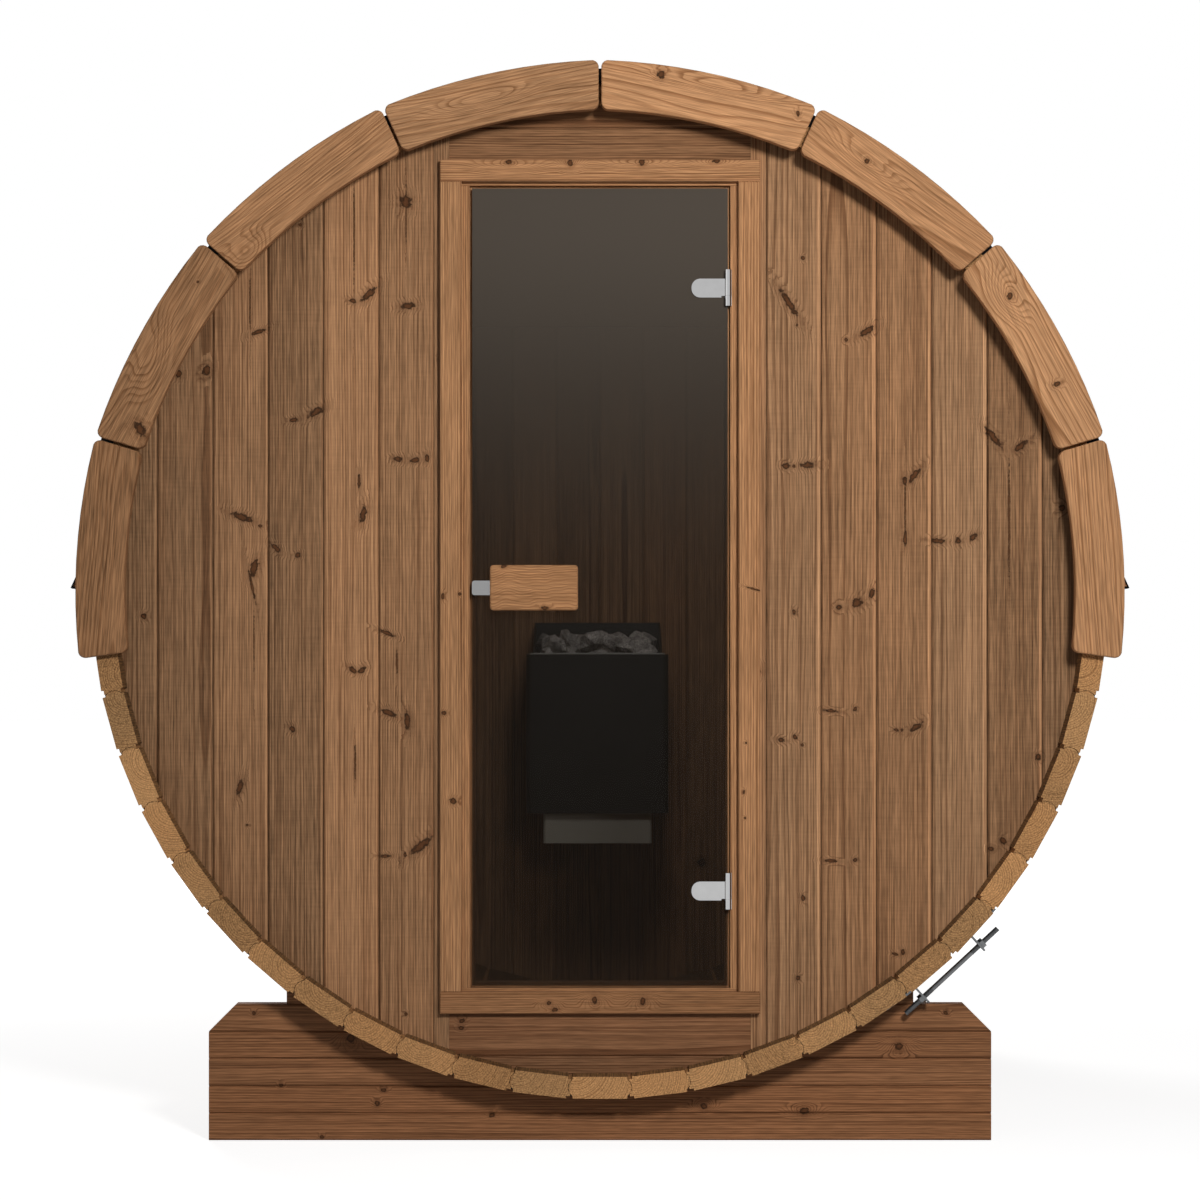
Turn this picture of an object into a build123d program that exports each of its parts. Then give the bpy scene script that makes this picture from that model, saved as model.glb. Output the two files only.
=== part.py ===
from build123d import *
import os
from math import acos, asin, atan2, cos, degrees, radians, sin, sqrt, tan

# Barrel sauna in millimetres: X to the right of the door, Y from the front wall to the back wall, Z up.
# The origin is on the ground, under the middle of the barrel.

# Staves
stave_count = 53
stave_length = 1760.0
stave_thickness = 42.0
barrel_inner_reach = 931.0
barrel_ground_clearance = 94.0
bead_radius = 20.0
bead_bulge = 8.3
bead_clearance = 0.3
bead_flat_count = 13
horn_setback = 3.0
seam_notch_width = 8.0
seam_notch_depth = 4.8
croze_depth = 4.5

# Fits and cuts
fit_gap = 0.3
cut_overrun = 20.0
corner_cut_share = 0.586
corner_ease_share = 0.215
bar_flat_count = 12

# End walls of tongued boards
wall_thickness = 40.0
wall_setback = 55.0
board_pitch = 107.0
board_chamfer = 4.0
board_gap = 0.5
tongue_length = 8.0
tongue_thickness = 10.0

# Door frame in the front wall
door_opening_width = 504.0
door_head_drop = 152.0
door_sill_rise = 168.0
jamb_width = 39.5
post_width = 29.0
stop_width = 11.0
header_board_width = 73.0
sill_board_width = 92.0
casing_width = 41.5
casing_thickness = 20.0
casing_edge_chamfer = 2.0
casing_side_reveal = 15.0
casing_end_reveal = 6.0

# Glass door
door_clearance = 5.0
glass_thickness = 8.0
handle_width = 169.0
handle_height = 87.0
handle_thickness = 34.0
handle_corner_radius = 7.0
handle_edge_chamfer = 2.5
handle_center_from_edge = 120.0
handle_rise = 6.0
catch_height = 28.0
catch_thickness = 12.0
catch_end_radius = 5.0

# Hinges
hinge_bottom_inset = 183.0
hinge_top_inset = 193.0
hinge_knuckle_diameter = 12.5
hinge_knuckle_height = 70.0
hinge_door_knuckle_share = 0.72
hinge_pin_diameter = 6.0
hinge_pin_clearance = 0.05
hinge_knuckle_gap = 0.75
hinge_leaf_length = 64.0
hinge_leaf_height = 36.5
hinge_leaf_thickness = 3.5
hinge_leaf_end_radius = 17.0
hinge_plate_thickness = 2.0

# Fascia over both ends
fascia_segments_a_side = 4
fascia_side_angle = 98.1
fascia_overhang = 27.0
fascia_width = 93.5
fascia_outer_radius_share = 1.17
fascia_inner_radius_share = 1.04
fascia_thickness = 26.0
fascia_gap = 5.0
fascia_corner_radius = 14.0
fascia_lift = 8.0

# Hoops and their screw clamps
hoop_setback = 60.0
hoop_width = 25.0
hoop_thickness = 1.2
clamp_angle = 137.2
clamp_ear_spacing = 143.0
clamp_ear_height = 41.0
clamp_ear_corner_cut = 5.0
clamp_leg_length = 72.0
clamp_plate_thickness = 4.0
clamp_rod_height = 28.0
clamp_rod_diameter = 10.0
clamp_rod_length = 242.0
clamp_hole_clearance = 0.5
clamp_nut_width = 17.0
clamp_nut_height = 8.4

# Roof covering
roof_course_exposure = 146.0
roof_course_thickness = 3.2
ridge_cap_width = 192.0
flashing_leg = 40.0
flashing_upstand = 23.0
drip_batten_width = 32.0
drip_batten_height = 70.0
drip_batten_level = 8.0
drip_lip = 5.0

# Cradles
cradle_setback = 90.0
cradle_thickness = 42.0
cradle_length = 1521.0
cradle_course_count = 6
cradle_course_height = 53.0
cradle_top_course_length = 1218.0
cradle_corner_cut = 53.0
cradle_board_chamfer = 3.0

# Heater on the back wall
heater_width = 338.0
heater_collar_width = 308.0
heater_offset = -6.0
heater_depth = 245.0
heater_drop = 497.0
heater_front_height = 378.0
heater_back_height = 456.0
heater_corner_radius = 14.0
heater_sheet = 4.0
heater_wall_gap = 22.0
heater_bracket_width = 210.0
heater_bracket_height = 260.0
heater_bracket_level = 60.0
stone_bed_crown = 48.0
stone_bed_edge_radius = 22.0
control_box_width = 258.0
control_box_height = 72.0
control_box_depth = 190.0
control_box_corner_radius = 8.0

# Places worked out from the sizes above
stave_angle = 360 / stave_count
barrel_outer_reach = barrel_inner_reach + stave_thickness
axis_height = barrel_ground_clearance + barrel_outer_reach
mean_reach = barrel_inner_reach + stave_thickness / 2
half_pitch = mean_reach * tan(radians(stave_angle / 2))
front_end = -stave_length / 2
back_end = stave_length / 2
wall_reach = barrel_inner_reach + croze_depth - fit_gap
wall_front = front_end + wall_setback
wall_back = wall_front + wall_thickness
opening_side = door_opening_width / 2
opening_top = axis_height + wall_reach - door_head_drop
door_sill_height = axis_height - wall_reach + door_sill_rise
frame_side = opening_side + jamb_width
post_side = frame_side + post_width
glass_side = opening_side - door_clearance
glass_bottom = door_sill_height + door_clearance
glass_top = opening_top - door_clearance
glass_back = wall_front + glass_thickness
stop_front = glass_back + door_clearance
handle_height_center = axis_height + handle_rise
hinge_heights = (glass_bottom + hinge_bottom_inset, glass_top - hinge_top_inset)
knuckle_radius = hinge_knuckle_diameter / 2
hinge_axis_y = wall_front - hinge_knuckle_gap - knuckle_radius
fascia_reach = barrel_outer_reach + fascia_overhang
hoop_inner_reach = barrel_outer_reach + fit_gap
hoop_outer_reach = hoop_inner_reach + hoop_thickness
hoop_corner_reach = hoop_outer_reach / cos(radians(stave_angle / 2))
roof_inner_reach = hoop_corner_reach + fit_gap
roof_eaves_angle = degrees(acos((drip_batten_level + drip_batten_height) / roof_inner_reach))
roof_course_count = round(radians(roof_eaves_angle) * roof_inner_reach / roof_course_exposure)
heater_bottom_height = axis_height - heater_drop


def polar(reach, angle):
    """Point in a cross-section, by its reach from the barrel axis and its angle from the top."""
    return Vector(reach * sin(radians(angle)), reach * cos(radians(angle)))


def ring_sector(inner_reach, outer_reach, first_angle, last_angle):
    """Cross-section of a ring about the barrel axis, between two angles from the top."""
    middle = (first_angle + last_angle) / 2
    outline = [
        ThreePointArc(*[polar(outer_reach, angle) for angle in (first_angle, middle, last_angle)]),
        Line(polar(outer_reach, last_angle), polar(inner_reach, last_angle)),
        ThreePointArc(*[polar(inner_reach, angle) for angle in (last_angle, middle, first_angle)]),
        Line(polar(inner_reach, first_angle), polar(outer_reach, first_angle)),
    ]
    return make_face(outline)


def stave_polygon(reach):
    """Polygon in a cross-section with one side along each stave, at a reach from the barrel axis."""
    return RegularPolygon(reach, stave_count, major_radius=False, rotation=-90 - stave_angle / 2)


def band_section(inner_reach, outer_reach, first_angle, last_angle):
    """Cross-section of a band that lies flat on each stave, between two angles from the top."""
    far_reach = outer_reach * 2
    cut = ring_sector(inner_reach / 2, far_reach, first_angle, last_angle)
    return (stave_polygon(outer_reach) - stave_polygon(inner_reach)) & cut


def eased_corners(outline, radius):
    """Outline with every corner rounded to a radius, in three flats."""
    outline = chamfer(outline.vertices(), radius * corner_cut_share)
    return chamfer(outline.vertices(), radius * corner_ease_share)


def along_barrel(section, front, back):
    """Solid of a cross-section drawn about the barrel axis, from its front to its back."""
    plane = Plane((0, front, axis_height), x_dir=(1, 0, 0), z_dir=(0, -1, 0))
    return extrude(plane * section, amount=front - back)


def block(x_range, y_range, z_range):
    """Box between two places on each axis."""
    sizes = [high - low for low, high in (x_range, y_range, z_range)]
    middle = [(low + high) / 2 for low, high in (x_range, y_range, z_range)]
    return Pos(*middle) * Box(*sizes)


def group(solids):
    """Several separate solids as one node."""
    return Compound(children=list(solids))


def on_the_left(shape):
    """Mirror image of a shape, from the right side of the barrel to the left."""
    return mirror(shape, about=Plane.YZ)


def at_the_rear(shape):
    """Mirror image of a shape, from the front end of the barrel to the rear."""
    return mirror(shape, about=Plane.XZ)


def stave_section(lower_edge, upper_edge):
    """Cross-section of a stave at the top of the barrel, with a bead or a cove on each edge."""
    shoulder = half_pitch - bead_bulge / 2
    bead_center = Vector(shoulder + bead_bulge - bead_radius, mean_reach)
    bead_angle = degrees(atan2(bead_center.X, bead_center.Y))
    cove_center = polar(bead_center.length, stave_angle - bead_angle)
    horn_end = half_pitch + bead_bulge / 2 - horn_setback
    section = Pos(0, mean_reach) * Rectangle(2 * shoulder, stave_thickness)
    bead = Pos(bead_center.X, bead_center.Y) * RegularPolygon(bead_radius, bead_flat_count)
    beyond = Pos(shoulder + bead_radius, mean_reach) * Rectangle(2 * bead_radius, stave_thickness)
    horns = Pos((shoulder + horn_end) / 2, mean_reach) * Rectangle(horn_end - shoulder, stave_thickness)
    cove = RegularPolygon(bead_radius + bead_clearance, bead_flat_count, major_radius=False)
    cove = Pos(cove_center.X, cove_center.Y) * cove
    for edge, side in ((lower_edge, -1), (upper_edge, 1)):
        if edge == "bead":
            rim = bead & beyond
            section += rim if side == 1 else mirror(rim, about=Plane.YZ)
        else:
            section += horns if side == 1 else mirror(horns, about=Plane.YZ)
            section -= cove if side == 1 else mirror(cove, about=Plane.YZ)
            for notch_reach in (barrel_inner_reach, barrel_outer_reach):
                notch = Rectangle(2 * seam_notch_width, 2 * seam_notch_depth)
                section -= Pos(side * horn_end, notch_reach) * notch
    return section


def stave(lower_edge, upper_edge):
    """Stave at the top of the barrel, with a croze across its inner face for each end wall."""
    solid = along_barrel(stave_section(lower_edge, upper_edge), front_end, back_end)
    croze_top = axis_height + barrel_inner_reach + croze_depth
    croze = block(
        (-2 * half_pitch, 2 * half_pitch),
        (wall_front - fit_gap, wall_back + fit_gap),
        (axis_height + barrel_inner_reach - cut_overrun, croze_top),
    )
    return solid - croze - at_the_rear(croze)


def turned(shape, angle):
    """Shape turned about the barrel axis, clockwise as seen from the front."""
    return Pos(0, 0, axis_height) * Rot(0, angle, 0) * Pos(0, 0, -axis_height) * shape


def barrel_nodes():
    """Stave ring, laid up both sides from a double-beaded bottom stave to a double-coved top one."""
    left_count = (stave_count - 2) // 2
    right_count = stave_count - 2 - left_count
    left_stave = stave("cove", "bead")
    right_stave = stave("bead", "cove")
    nodes = {
        "bottom_stave": turned(stave("bead", "bead"), 180),
        "top_stave": turned(stave("cove", "cove"), 180 + (left_count + 1) * stave_angle),
    }
    for side, solid, count, turn in (
        ("left", left_stave, left_count, stave_angle),
        ("right", right_stave, right_count, -stave_angle),
    ):
        ring = [turned(solid, 180 + turn * place) for place in range(1, count + 1)]
        third = round(count / 3)
        nodes[f"lower_{side}_staves"] = group(ring[:third])
        nodes[f"side_{side}_staves"] = group(ring[third:2 * third])
        nodes[f"upper_{side}_staves"] = group(ring[2 * third:])
    return nodes


def board(width, length):
    """Upright wall board on the origin, with V edges, a tongue on its right and a groove on its left."""
    half = width / 2
    face = chamfer(Rectangle(width - board_gap, wall_thickness).vertices(), board_chamfer)
    edge = half - board_gap / 2
    tongue = Pos(edge + tongue_length / 2) * Rectangle(tongue_length, tongue_thickness)
    groove_depth = tongue_length + board_gap
    groove_size = (groove_depth, tongue_thickness + 2 * fit_gap)
    groove = Pos(groove_depth / 2 - edge) * Rectangle(*groove_size)
    return extrude(face + tongue - groove, amount=length / 2, both=True)


def wall_disc():
    """Outline of the front wall that sits in the crozes, with one side along each stave."""
    return along_barrel(stave_polygon(wall_reach), wall_front, wall_back)


def boards_across(first_edge, count):
    """Upright boards side by side, starting at a distance to the right of the middle."""
    solid = board(board_pitch, 2 * wall_reach)
    middle = (wall_front + wall_back) / 2
    places = [first_edge + board_pitch * (place + 0.5) for place in range(count)]
    disc = wall_disc()
    return [Pos(place, middle, axis_height) * solid & disc for place in places]


def level_boards(edges, upward):
    """Level boards between the door posts, given the heights of their edges."""
    middle = (wall_front + wall_back) / 2
    turn = -90 if upward else 90
    disc = wall_disc()
    solids = []
    for low, high in zip(edges, edges[1:]):
        solid = Rot(0, turn, 0) * board(high - low, 2 * (frame_side - fit_gap))
        solids.append(Pos(0, middle, (low + high) / 2) * solid & disc)
    return solids


def wall_nodes():
    """Boarded end walls, with the front one split beside, over and under the doorway."""
    side_count = int((wall_reach - post_side) / board_pitch) + 1
    right_boards = boards_across(post_side, side_count)
    back_boards = [at_the_rear(solid) for solid in boards_across(0, int(wall_reach / board_pitch) + 1)]
    loose_tongue = Pos(0, (wall_front + wall_back) / 2, axis_height)
    loose_tongue *= Box(2 * tongue_length, tongue_thickness, 2 * wall_reach)
    loose_tongue = at_the_rear(loose_tongue & wall_disc())
    header_low = opening_top + jamb_width + fit_gap
    header_seam = header_low + header_board_width
    sill_high = door_sill_height - jamb_width - fit_gap
    sill_seam = sill_high - sill_board_width
    post = block((frame_side, post_side - fit_gap), (wall_front, wall_back), (0, 2 * axis_height))
    post = post & wall_disc()
    return {
        "front_wall_right": group(right_boards),
        "front_wall_left": group(on_the_left(solid) for solid in right_boards),
        "header_boards": group(level_boards((header_low, header_seam, header_seam + board_pitch), True)),
        "sill_boards": group(level_boards((sill_seam - board_pitch, sill_seam, sill_high), False)),
        "door_posts": group([post, on_the_left(post)]),
        "back_wall_right": group(back_boards + [loose_tongue]),
        "back_wall_left": group(on_the_left(solid) for solid in back_boards),
    }


def hinge_mortise(height):
    """Pocket in the hinge jamb for the plate of one hinge."""
    half = hinge_knuckle_height / 2 + fit_gap
    return block(
        (opening_side - cut_overrun, opening_side + hinge_plate_thickness + fit_gap),
        (wall_front - cut_overrun, stop_front),
        (height - half, height + half),
    )


def door_frame_nodes():
    """Rebated jambs round the doorway and the flat casing on the face of the wall."""
    frame_span = (-frame_side + fit_gap, frame_side - fit_gap)
    wall_span = (wall_front, wall_back)
    stop_span = (stop_front, wall_back)
    upright = (door_sill_height + fit_gap, opening_top - fit_gap)
    inner_side = opening_side - stop_width
    jamb = block((opening_side, frame_side - fit_gap), wall_span, upright)
    jamb += block((inner_side, opening_side), stop_span, upright)
    hinge_jamb = jamb
    for height in hinge_heights:
        hinge_jamb -= hinge_mortise(height)
    stop_length = (-inner_side + fit_gap, inner_side - fit_gap)
    head = block(frame_span, wall_span, (opening_top, opening_top + jamb_width))
    head += block(stop_length, stop_span, (opening_top - stop_width, opening_top))
    sill = block(frame_span, wall_span, (door_sill_height - jamb_width, door_sill_height))
    sill += block(stop_length, stop_span, (door_sill_height, door_sill_height + stop_width))

    casing_span = (wall_front - casing_thickness, wall_front)
    inner = opening_side + casing_side_reveal
    outer = inner + casing_width
    low = door_sill_height - casing_end_reveal
    high = opening_top + casing_end_reveal
    side_casing = block((inner, outer), casing_span, (low + fit_gap, high - fit_gap))
    head_casing = block((-outer, outer), casing_span, (high, high + casing_width))
    sill_casing = block((-outer, outer), casing_span, (low - casing_width, low))
    side_casing, head_casing, sill_casing = [
        chamfer(piece.faces().sort_by(Axis.Y)[0].edges(), casing_edge_chamfer)
        for piece in (side_casing, head_casing, sill_casing)
    ]
    return {
        "latch_jamb": on_the_left(jamb),
        "hinge_jamb": hinge_jamb,
        "head_jamb": head,
        "sill_jamb": sill,
        "right_casing": side_casing,
        "left_casing": on_the_left(side_casing),
        "head_casing": head_casing,
        "sill_casing": sill_casing,
    }


def hinge_leaf(height):
    """Glass leaf of a lift-off hinge with its upper knuckle, and the plate behind the glass."""
    knuckle_low = height + hinge_knuckle_height * (0.5 - hinge_door_knuckle_share) + fit_gap
    knuckle_high = height + hinge_knuckle_height / 2
    bore_radius = hinge_pin_diameter / 2 + hinge_pin_clearance
    barrel = Pos(glass_side, hinge_axis_y) * Circle(knuckle_radius)
    bore = Pos(glass_side, hinge_axis_y) * Circle(bore_radius)
    leaf_end = glass_side - knuckle_radius - hinge_leaf_length
    plate_face = Plane((0, wall_front, height), x_dir=(1, 0, 0), z_dir=(0, -1, 0))
    outline = Pos((leaf_end + glass_side) / 2) * Rectangle(glass_side - leaf_end, hinge_leaf_height)
    outline = fillet(outline.vertices().group_by(Axis.X)[0], hinge_leaf_end_radius)
    leaf = extrude(plate_face * outline, amount=hinge_leaf_thickness)
    knuckle = extrude(Pos(0, 0, knuckle_low) * barrel, amount=knuckle_high - knuckle_low)
    bridge = block(
        (glass_side - knuckle_radius, glass_side),
        (hinge_axis_y, wall_front),
        (max(knuckle_low, height - hinge_leaf_height / 2), height + hinge_leaf_height / 2),
    )
    solid = leaf + knuckle + bridge
    solid -= extrude(Pos(0, 0, knuckle_low) * bore, amount=hinge_knuckle_height)
    lower_clearance = block(
        (glass_side - 2 * knuckle_radius, glass_side + knuckle_radius),
        (hinge_axis_y - knuckle_radius, wall_front),
        (height - hinge_knuckle_height / 2, knuckle_low),
    )
    solid -= lower_clearance
    back_plate = Pos(0, glass_thickness + hinge_leaf_thickness) * leaf
    return [solid, back_plate - Pos(0, glass_thickness + hinge_leaf_thickness) * lower_clearance]


def hinge_pin(height):
    """Frame half of a lift-off hinge: mortised plate, lower knuckle and upright pin."""
    low = height - hinge_knuckle_height / 2
    knuckle_high = height + hinge_knuckle_height * (0.5 - hinge_door_knuckle_share)
    pin_high = height + hinge_knuckle_height / 2 - knuckle_radius
    plate_side = opening_side + hinge_plate_thickness
    plate = block(
        (opening_side, plate_side),
        (wall_front - hinge_knuckle_gap / 2, stop_front - fit_gap),
        (low, height + hinge_knuckle_height / 2),
    )
    knuckle = Pos(glass_side, hinge_axis_y, (low + knuckle_high) / 2)
    knuckle *= Cylinder(knuckle_radius, knuckle_high - low)
    web_span = (opening_side - hinge_plate_thickness, plate_side)
    web = block(web_span, (hinge_axis_y, wall_front), (low, knuckle_high))
    pin = Pos(glass_side, hinge_axis_y, (low + pin_high) / 2)
    pin *= Cylinder(hinge_pin_diameter / 2, pin_high - low)
    return plate + web + knuckle + pin


def door_nodes():
    """Glass door leaf with its wooden handles, catch and hinge halves."""
    glass = block((-glass_side, glass_side), (wall_front, glass_back), (glass_bottom, glass_top))
    handle_x = handle_center_from_edge - glass_side
    face = Plane((handle_x, wall_front, handle_height_center), x_dir=(1, 0, 0), z_dir=(0, -1, 0))
    outline = eased_corners(Rectangle(handle_width, handle_height), handle_corner_radius)
    handle = extrude(face * outline, amount=handle_thickness)
    handle = chamfer(handle.faces().sort_by(Axis.Y)[0].edges(), handle_edge_chamfer)
    glass_middle = (wall_front + glass_back) / 2
    inner_handle = mirror(handle, about=Plane.XZ.offset(-glass_middle))
    handle_side = handle_x - handle_width / 2
    catch = block(
        (-glass_side, handle_side),
        (wall_front - catch_thickness, wall_front),
        (handle_height_center - catch_height / 2, handle_height_center + catch_height / 2),
    )
    catch = fillet(catch.edges().filter_by(Axis.Y).group_by(Axis.X)[0], catch_end_radius)
    return {
        "door_glass": glass,
        "outer_handle": handle,
        "inner_handle": inner_handle,
        "door_catch": catch,
        "hinge_leaves": group(solid for height in hinge_heights for solid in hinge_leaf(height)),
        "hinge_pins": group(hinge_pin(height) for height in hinge_heights),
    }


def fascia_segment():
    """Curved fascia board at the top of the barrel, on the stave ends of the front."""
    half_angle = fascia_side_angle / fascia_segments_a_side / 2
    outer_radius = fascia_reach * fascia_outer_radius_share
    inner_radius = fascia_reach * fascia_inner_radius_share
    outer = Pos(0, fascia_reach - outer_radius) * Circle(outer_radius)
    inner = Pos(0, fascia_reach - fascia_width - inner_radius) * Circle(inner_radius)
    apex = fascia_gap / 2 / sin(radians(half_angle))
    far = polar(2 * fascia_reach, half_angle)
    wedge = make_face(Polyline((0, apex), (-far.X, apex + far.Y), (far.X, apex + far.Y), close=True))
    outline = (outer - inner) & wedge
    outline = eased_corners(outline, fascia_corner_radius)
    return along_barrel(outline, front_end - fascia_thickness, front_end)


def fascia_nodes():
    """Fascia boards up both sides of each end, meeting at the top."""
    segment = fascia_segment()
    step = fascia_side_angle / fascia_segments_a_side
    places = [step * (place + 0.5) for place in range(fascia_segments_a_side)]
    right = [Pos(0, 0, fascia_lift) * turned(segment, place) for place in places]
    boards = right + [on_the_left(solid) for solid in right]
    return {
        "front_fascia": group(boards),
        "rear_fascia": group(at_the_rear(solid) for solid in boards),
    }


def clamp_plate():
    """Angle plate of a hoop clamp at the top of the barrel: curved leg along the hoop and upright ear."""
    ear_x = clamp_ear_spacing / 2
    reach = hoop_corner_reach + fit_gap
    ear_angle = degrees(asin(ear_x / reach))
    leg_angle = ear_angle + degrees(clamp_leg_length / reach)
    hoop_front = front_end + hoop_setback - hoop_width / 2
    hoop_back = hoop_front + hoop_width
    leg = along_barrel(
        ring_sector(reach, reach + clamp_plate_thickness, ear_angle, leg_angle), hoop_front, hoop_back
    )
    ear_low = axis_height + reach * cos(radians(ear_angle))
    ear = block(
        (ear_x, ear_x + clamp_plate_thickness), (hoop_front, hoop_back), (ear_low, ear_low + clamp_ear_height)
    )
    ear = chamfer(ear.edges().filter_by(Axis.X).group_by(Axis.Z)[-1], clamp_ear_corner_cut)
    hole_radius = clamp_rod_diameter / 2 + clamp_hole_clearance
    hole = RegularPolygon(hole_radius, bar_flat_count, major_radius=False)
    return leg + ear - clamp_place() * extrude(hole, amount=clamp_ear_spacing)


def clamp_place():
    """Middle of a clamp rod at the top of the barrel, with the rod's length along Z."""
    rod_z = axis_height + barrel_outer_reach + clamp_rod_height
    return Pos(0, front_end + hoop_setback, rod_z) * Rot(0, 90, 0)


def clamp_rod():
    """Rod of a hoop clamp at the top of the barrel, with a nut outside each ear."""
    place = clamp_place()
    rod_outline = RegularPolygon(clamp_rod_diameter / 2, bar_flat_count)
    rod = place * extrude(rod_outline, amount=clamp_rod_length / 2, both=True)
    nut_outline = RegularPolygon(clamp_nut_width / 2, 6, major_radius=False)
    nut_start = clamp_ear_spacing / 2 + clamp_plate_thickness
    nut = place * Pos(0, 0, nut_start) * extrude(nut_outline, amount=clamp_nut_height)
    return rod + nut + on_the_left(nut)


def hoop_nodes():
    """Steel hoops round the barrel near both ends, each drawn together by a screw clamp."""
    hoop_front = front_end + hoop_setback - hoop_width / 2
    gap_angle = degrees(asin(clamp_ear_spacing / 2 / hoop_inner_reach))
    band = band_section(
        hoop_inner_reach, hoop_outer_reach, clamp_angle + gap_angle, clamp_angle + 360 - gap_angle
    )
    hoop = along_barrel(band, hoop_front, hoop_front + hoop_width)
    plate = clamp_plate()
    plates = [turned(plate, clamp_angle), turned(on_the_left(plate), clamp_angle)]
    rod = turned(clamp_rod(), clamp_angle)
    return {
        "hoops": group([hoop, at_the_rear(hoop)]),
        "clamp_plates": group(plates + [at_the_rear(solid) for solid in plates]),
        "clamp_rods": group([rod, at_the_rear(rod)]),
    }


def roof_section():
    """Cross-section of the right-hand roofing: lapped courses up from a flap over the drip batten."""
    step = roof_eaves_angle / roof_course_count
    ridge_gap = degrees(fit_gap / roof_inner_reach)
    low_reach = roof_inner_reach + 2 * roof_course_thickness
    high_reach = roof_inner_reach + roof_course_thickness
    section = None
    for course in range(roof_course_count):
        low_angle = roof_eaves_angle - step * course
        high_angle = max(low_angle - step, ridge_gap)
        middle = (low_angle + high_angle) / 2
        inner = [polar(roof_inner_reach, angle) for angle in (high_angle, middle, low_angle)]
        outer = [polar(low_reach, low_angle)]
        outer.append(polar((low_reach + high_reach) / 2, middle))
        outer.append(polar(high_reach, high_angle))
        outline = [
            ThreePointArc(*inner),
            Line(inner[-1], outer[0]),
            ThreePointArc(*outer),
            Line(outer[-1], inner[0]),
        ]
        face = make_face(outline)
        section = face if section is None else section + face
    top, tip = drip_corners()
    slope = (top - tip).normalized()
    away = Vector(slope.Y, -slope.X)
    lip = tip - slope * drip_lip
    lap = top + slope * drip_lip
    flap = [
        lip + away * fit_gap,
        lip + away * (fit_gap + roof_course_thickness),
        lap + away * (fit_gap + roof_course_thickness),
        lap + away * fit_gap,
    ]
    return section + make_face(Polyline(*flap, close=True))


def drip_corners():
    """Top and tip of the right-hand drip batten in a cross-section."""
    foot = hoop_corner_reach + fit_gap
    return (
        Vector(foot, drip_batten_level + drip_batten_height),
        Vector(foot + drip_batten_width, drip_batten_level),
    )


def roof_nodes():
    """Black roofing over the upper half, its edge flashings and the battens that throw off water."""
    roofing_front = front_end + hoop_thickness + fit_gap
    right = along_barrel(roof_section(), roofing_front, -roofing_front)
    step = roof_eaves_angle / roof_course_count
    ridge_cap_angle = degrees(ridge_cap_width / 2 / roof_inner_reach)
    lift_share = 1 + ridge_cap_angle / step
    cap_reach = roof_inner_reach + roof_course_thickness * lift_share + fit_gap
    cap = ring_sector(cap_reach, cap_reach + roof_course_thickness, -ridge_cap_angle, ridge_cap_angle)
    top, tip = drip_corners()
    batten = make_face(Polyline(top, tip, (top.X, tip.Y), close=True))
    leg = band_section(hoop_inner_reach, hoop_outer_reach, -roof_eaves_angle, roof_eaves_angle)
    upstand_reach = hoop_outer_reach + flashing_upstand
    upstand = band_section(hoop_inner_reach, upstand_reach, -roof_eaves_angle, roof_eaves_angle)
    flashing = along_barrel(leg, front_end, front_end + flashing_leg)
    flashing += along_barrel(upstand, front_end, front_end + hoop_thickness)
    right_batten = along_barrel(batten, front_end, back_end)
    return {
        "roof_right": right,
        "roof_left": on_the_left(right),
        "ridge_cap": along_barrel(cap, roofing_front, -roofing_front),
        "drip_battens": group([right_batten, on_the_left(right_batten)]),
        "edge_flashings": group([flashing, at_the_rear(flashing)]),
    }


def cradle_board(length, low):
    """Level cradle board with V edges, at a height above the ground."""
    height = cradle_course_height - fit_gap
    face = chamfer(Rectangle(cradle_thickness, height).vertices(), cradle_board_chamfer)
    plane = Plane((0, 0, 0), x_dir=(0, 1, 0), z_dir=(1, 0, 0))
    solid = extrude(plane * face, amount=length / 2, both=True)
    return Pos(0, front_end + cradle_setback + cradle_thickness / 2, low + height / 2) * solid


def cradle_nodes():
    """Saddles of stacked boards under both ends, hollowed to the round of the barrel."""
    cradle_front = front_end + cradle_setback
    span = (cradle_front - cut_overrun, cradle_front + cradle_thickness + cut_overrun)
    round_of_barrel = along_barrel(stave_polygon(hoop_inner_reach), *span)
    shoulder = cradle_course_height * (cradle_course_count - 1)
    corner_side = cradle_corner_cut * sqrt(2)
    corner = Rot(0, 45, 0) * Box(corner_side, 2 * span[1] - 2 * span[0], corner_side)
    solids = []
    for course in range(cradle_course_count):
        is_top = course == cradle_course_count - 1
        length = cradle_top_course_length if is_top else cradle_length
        solid = cradle_board(length, course * cradle_course_height) - round_of_barrel
        if course == cradle_course_count - 2:
            for side in (-1, 1):
                solid -= Pos(side * cradle_length / 2, cradle_front, shoulder) * corner
        solids.extend(solid.solids())
    return {
        "front_cradle": group(solids),
        "rear_cradle": group(at_the_rear(solid) for solid in solids),
    }


def heater_prism(width, depth_range, front_top, back_top, bottom):
    """Box with a top that slopes down from the back wall to the front."""
    front, back = depth_range
    plane = Plane((0, 0, 0), x_dir=(0, 1, 0), z_dir=(1, 0, 0))
    outline = Polyline((front, bottom), (back, bottom), (back, back_top), (front, front_top), close=True)
    return extrude(plane * make_face(outline), amount=width / 2, both=True)


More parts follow.
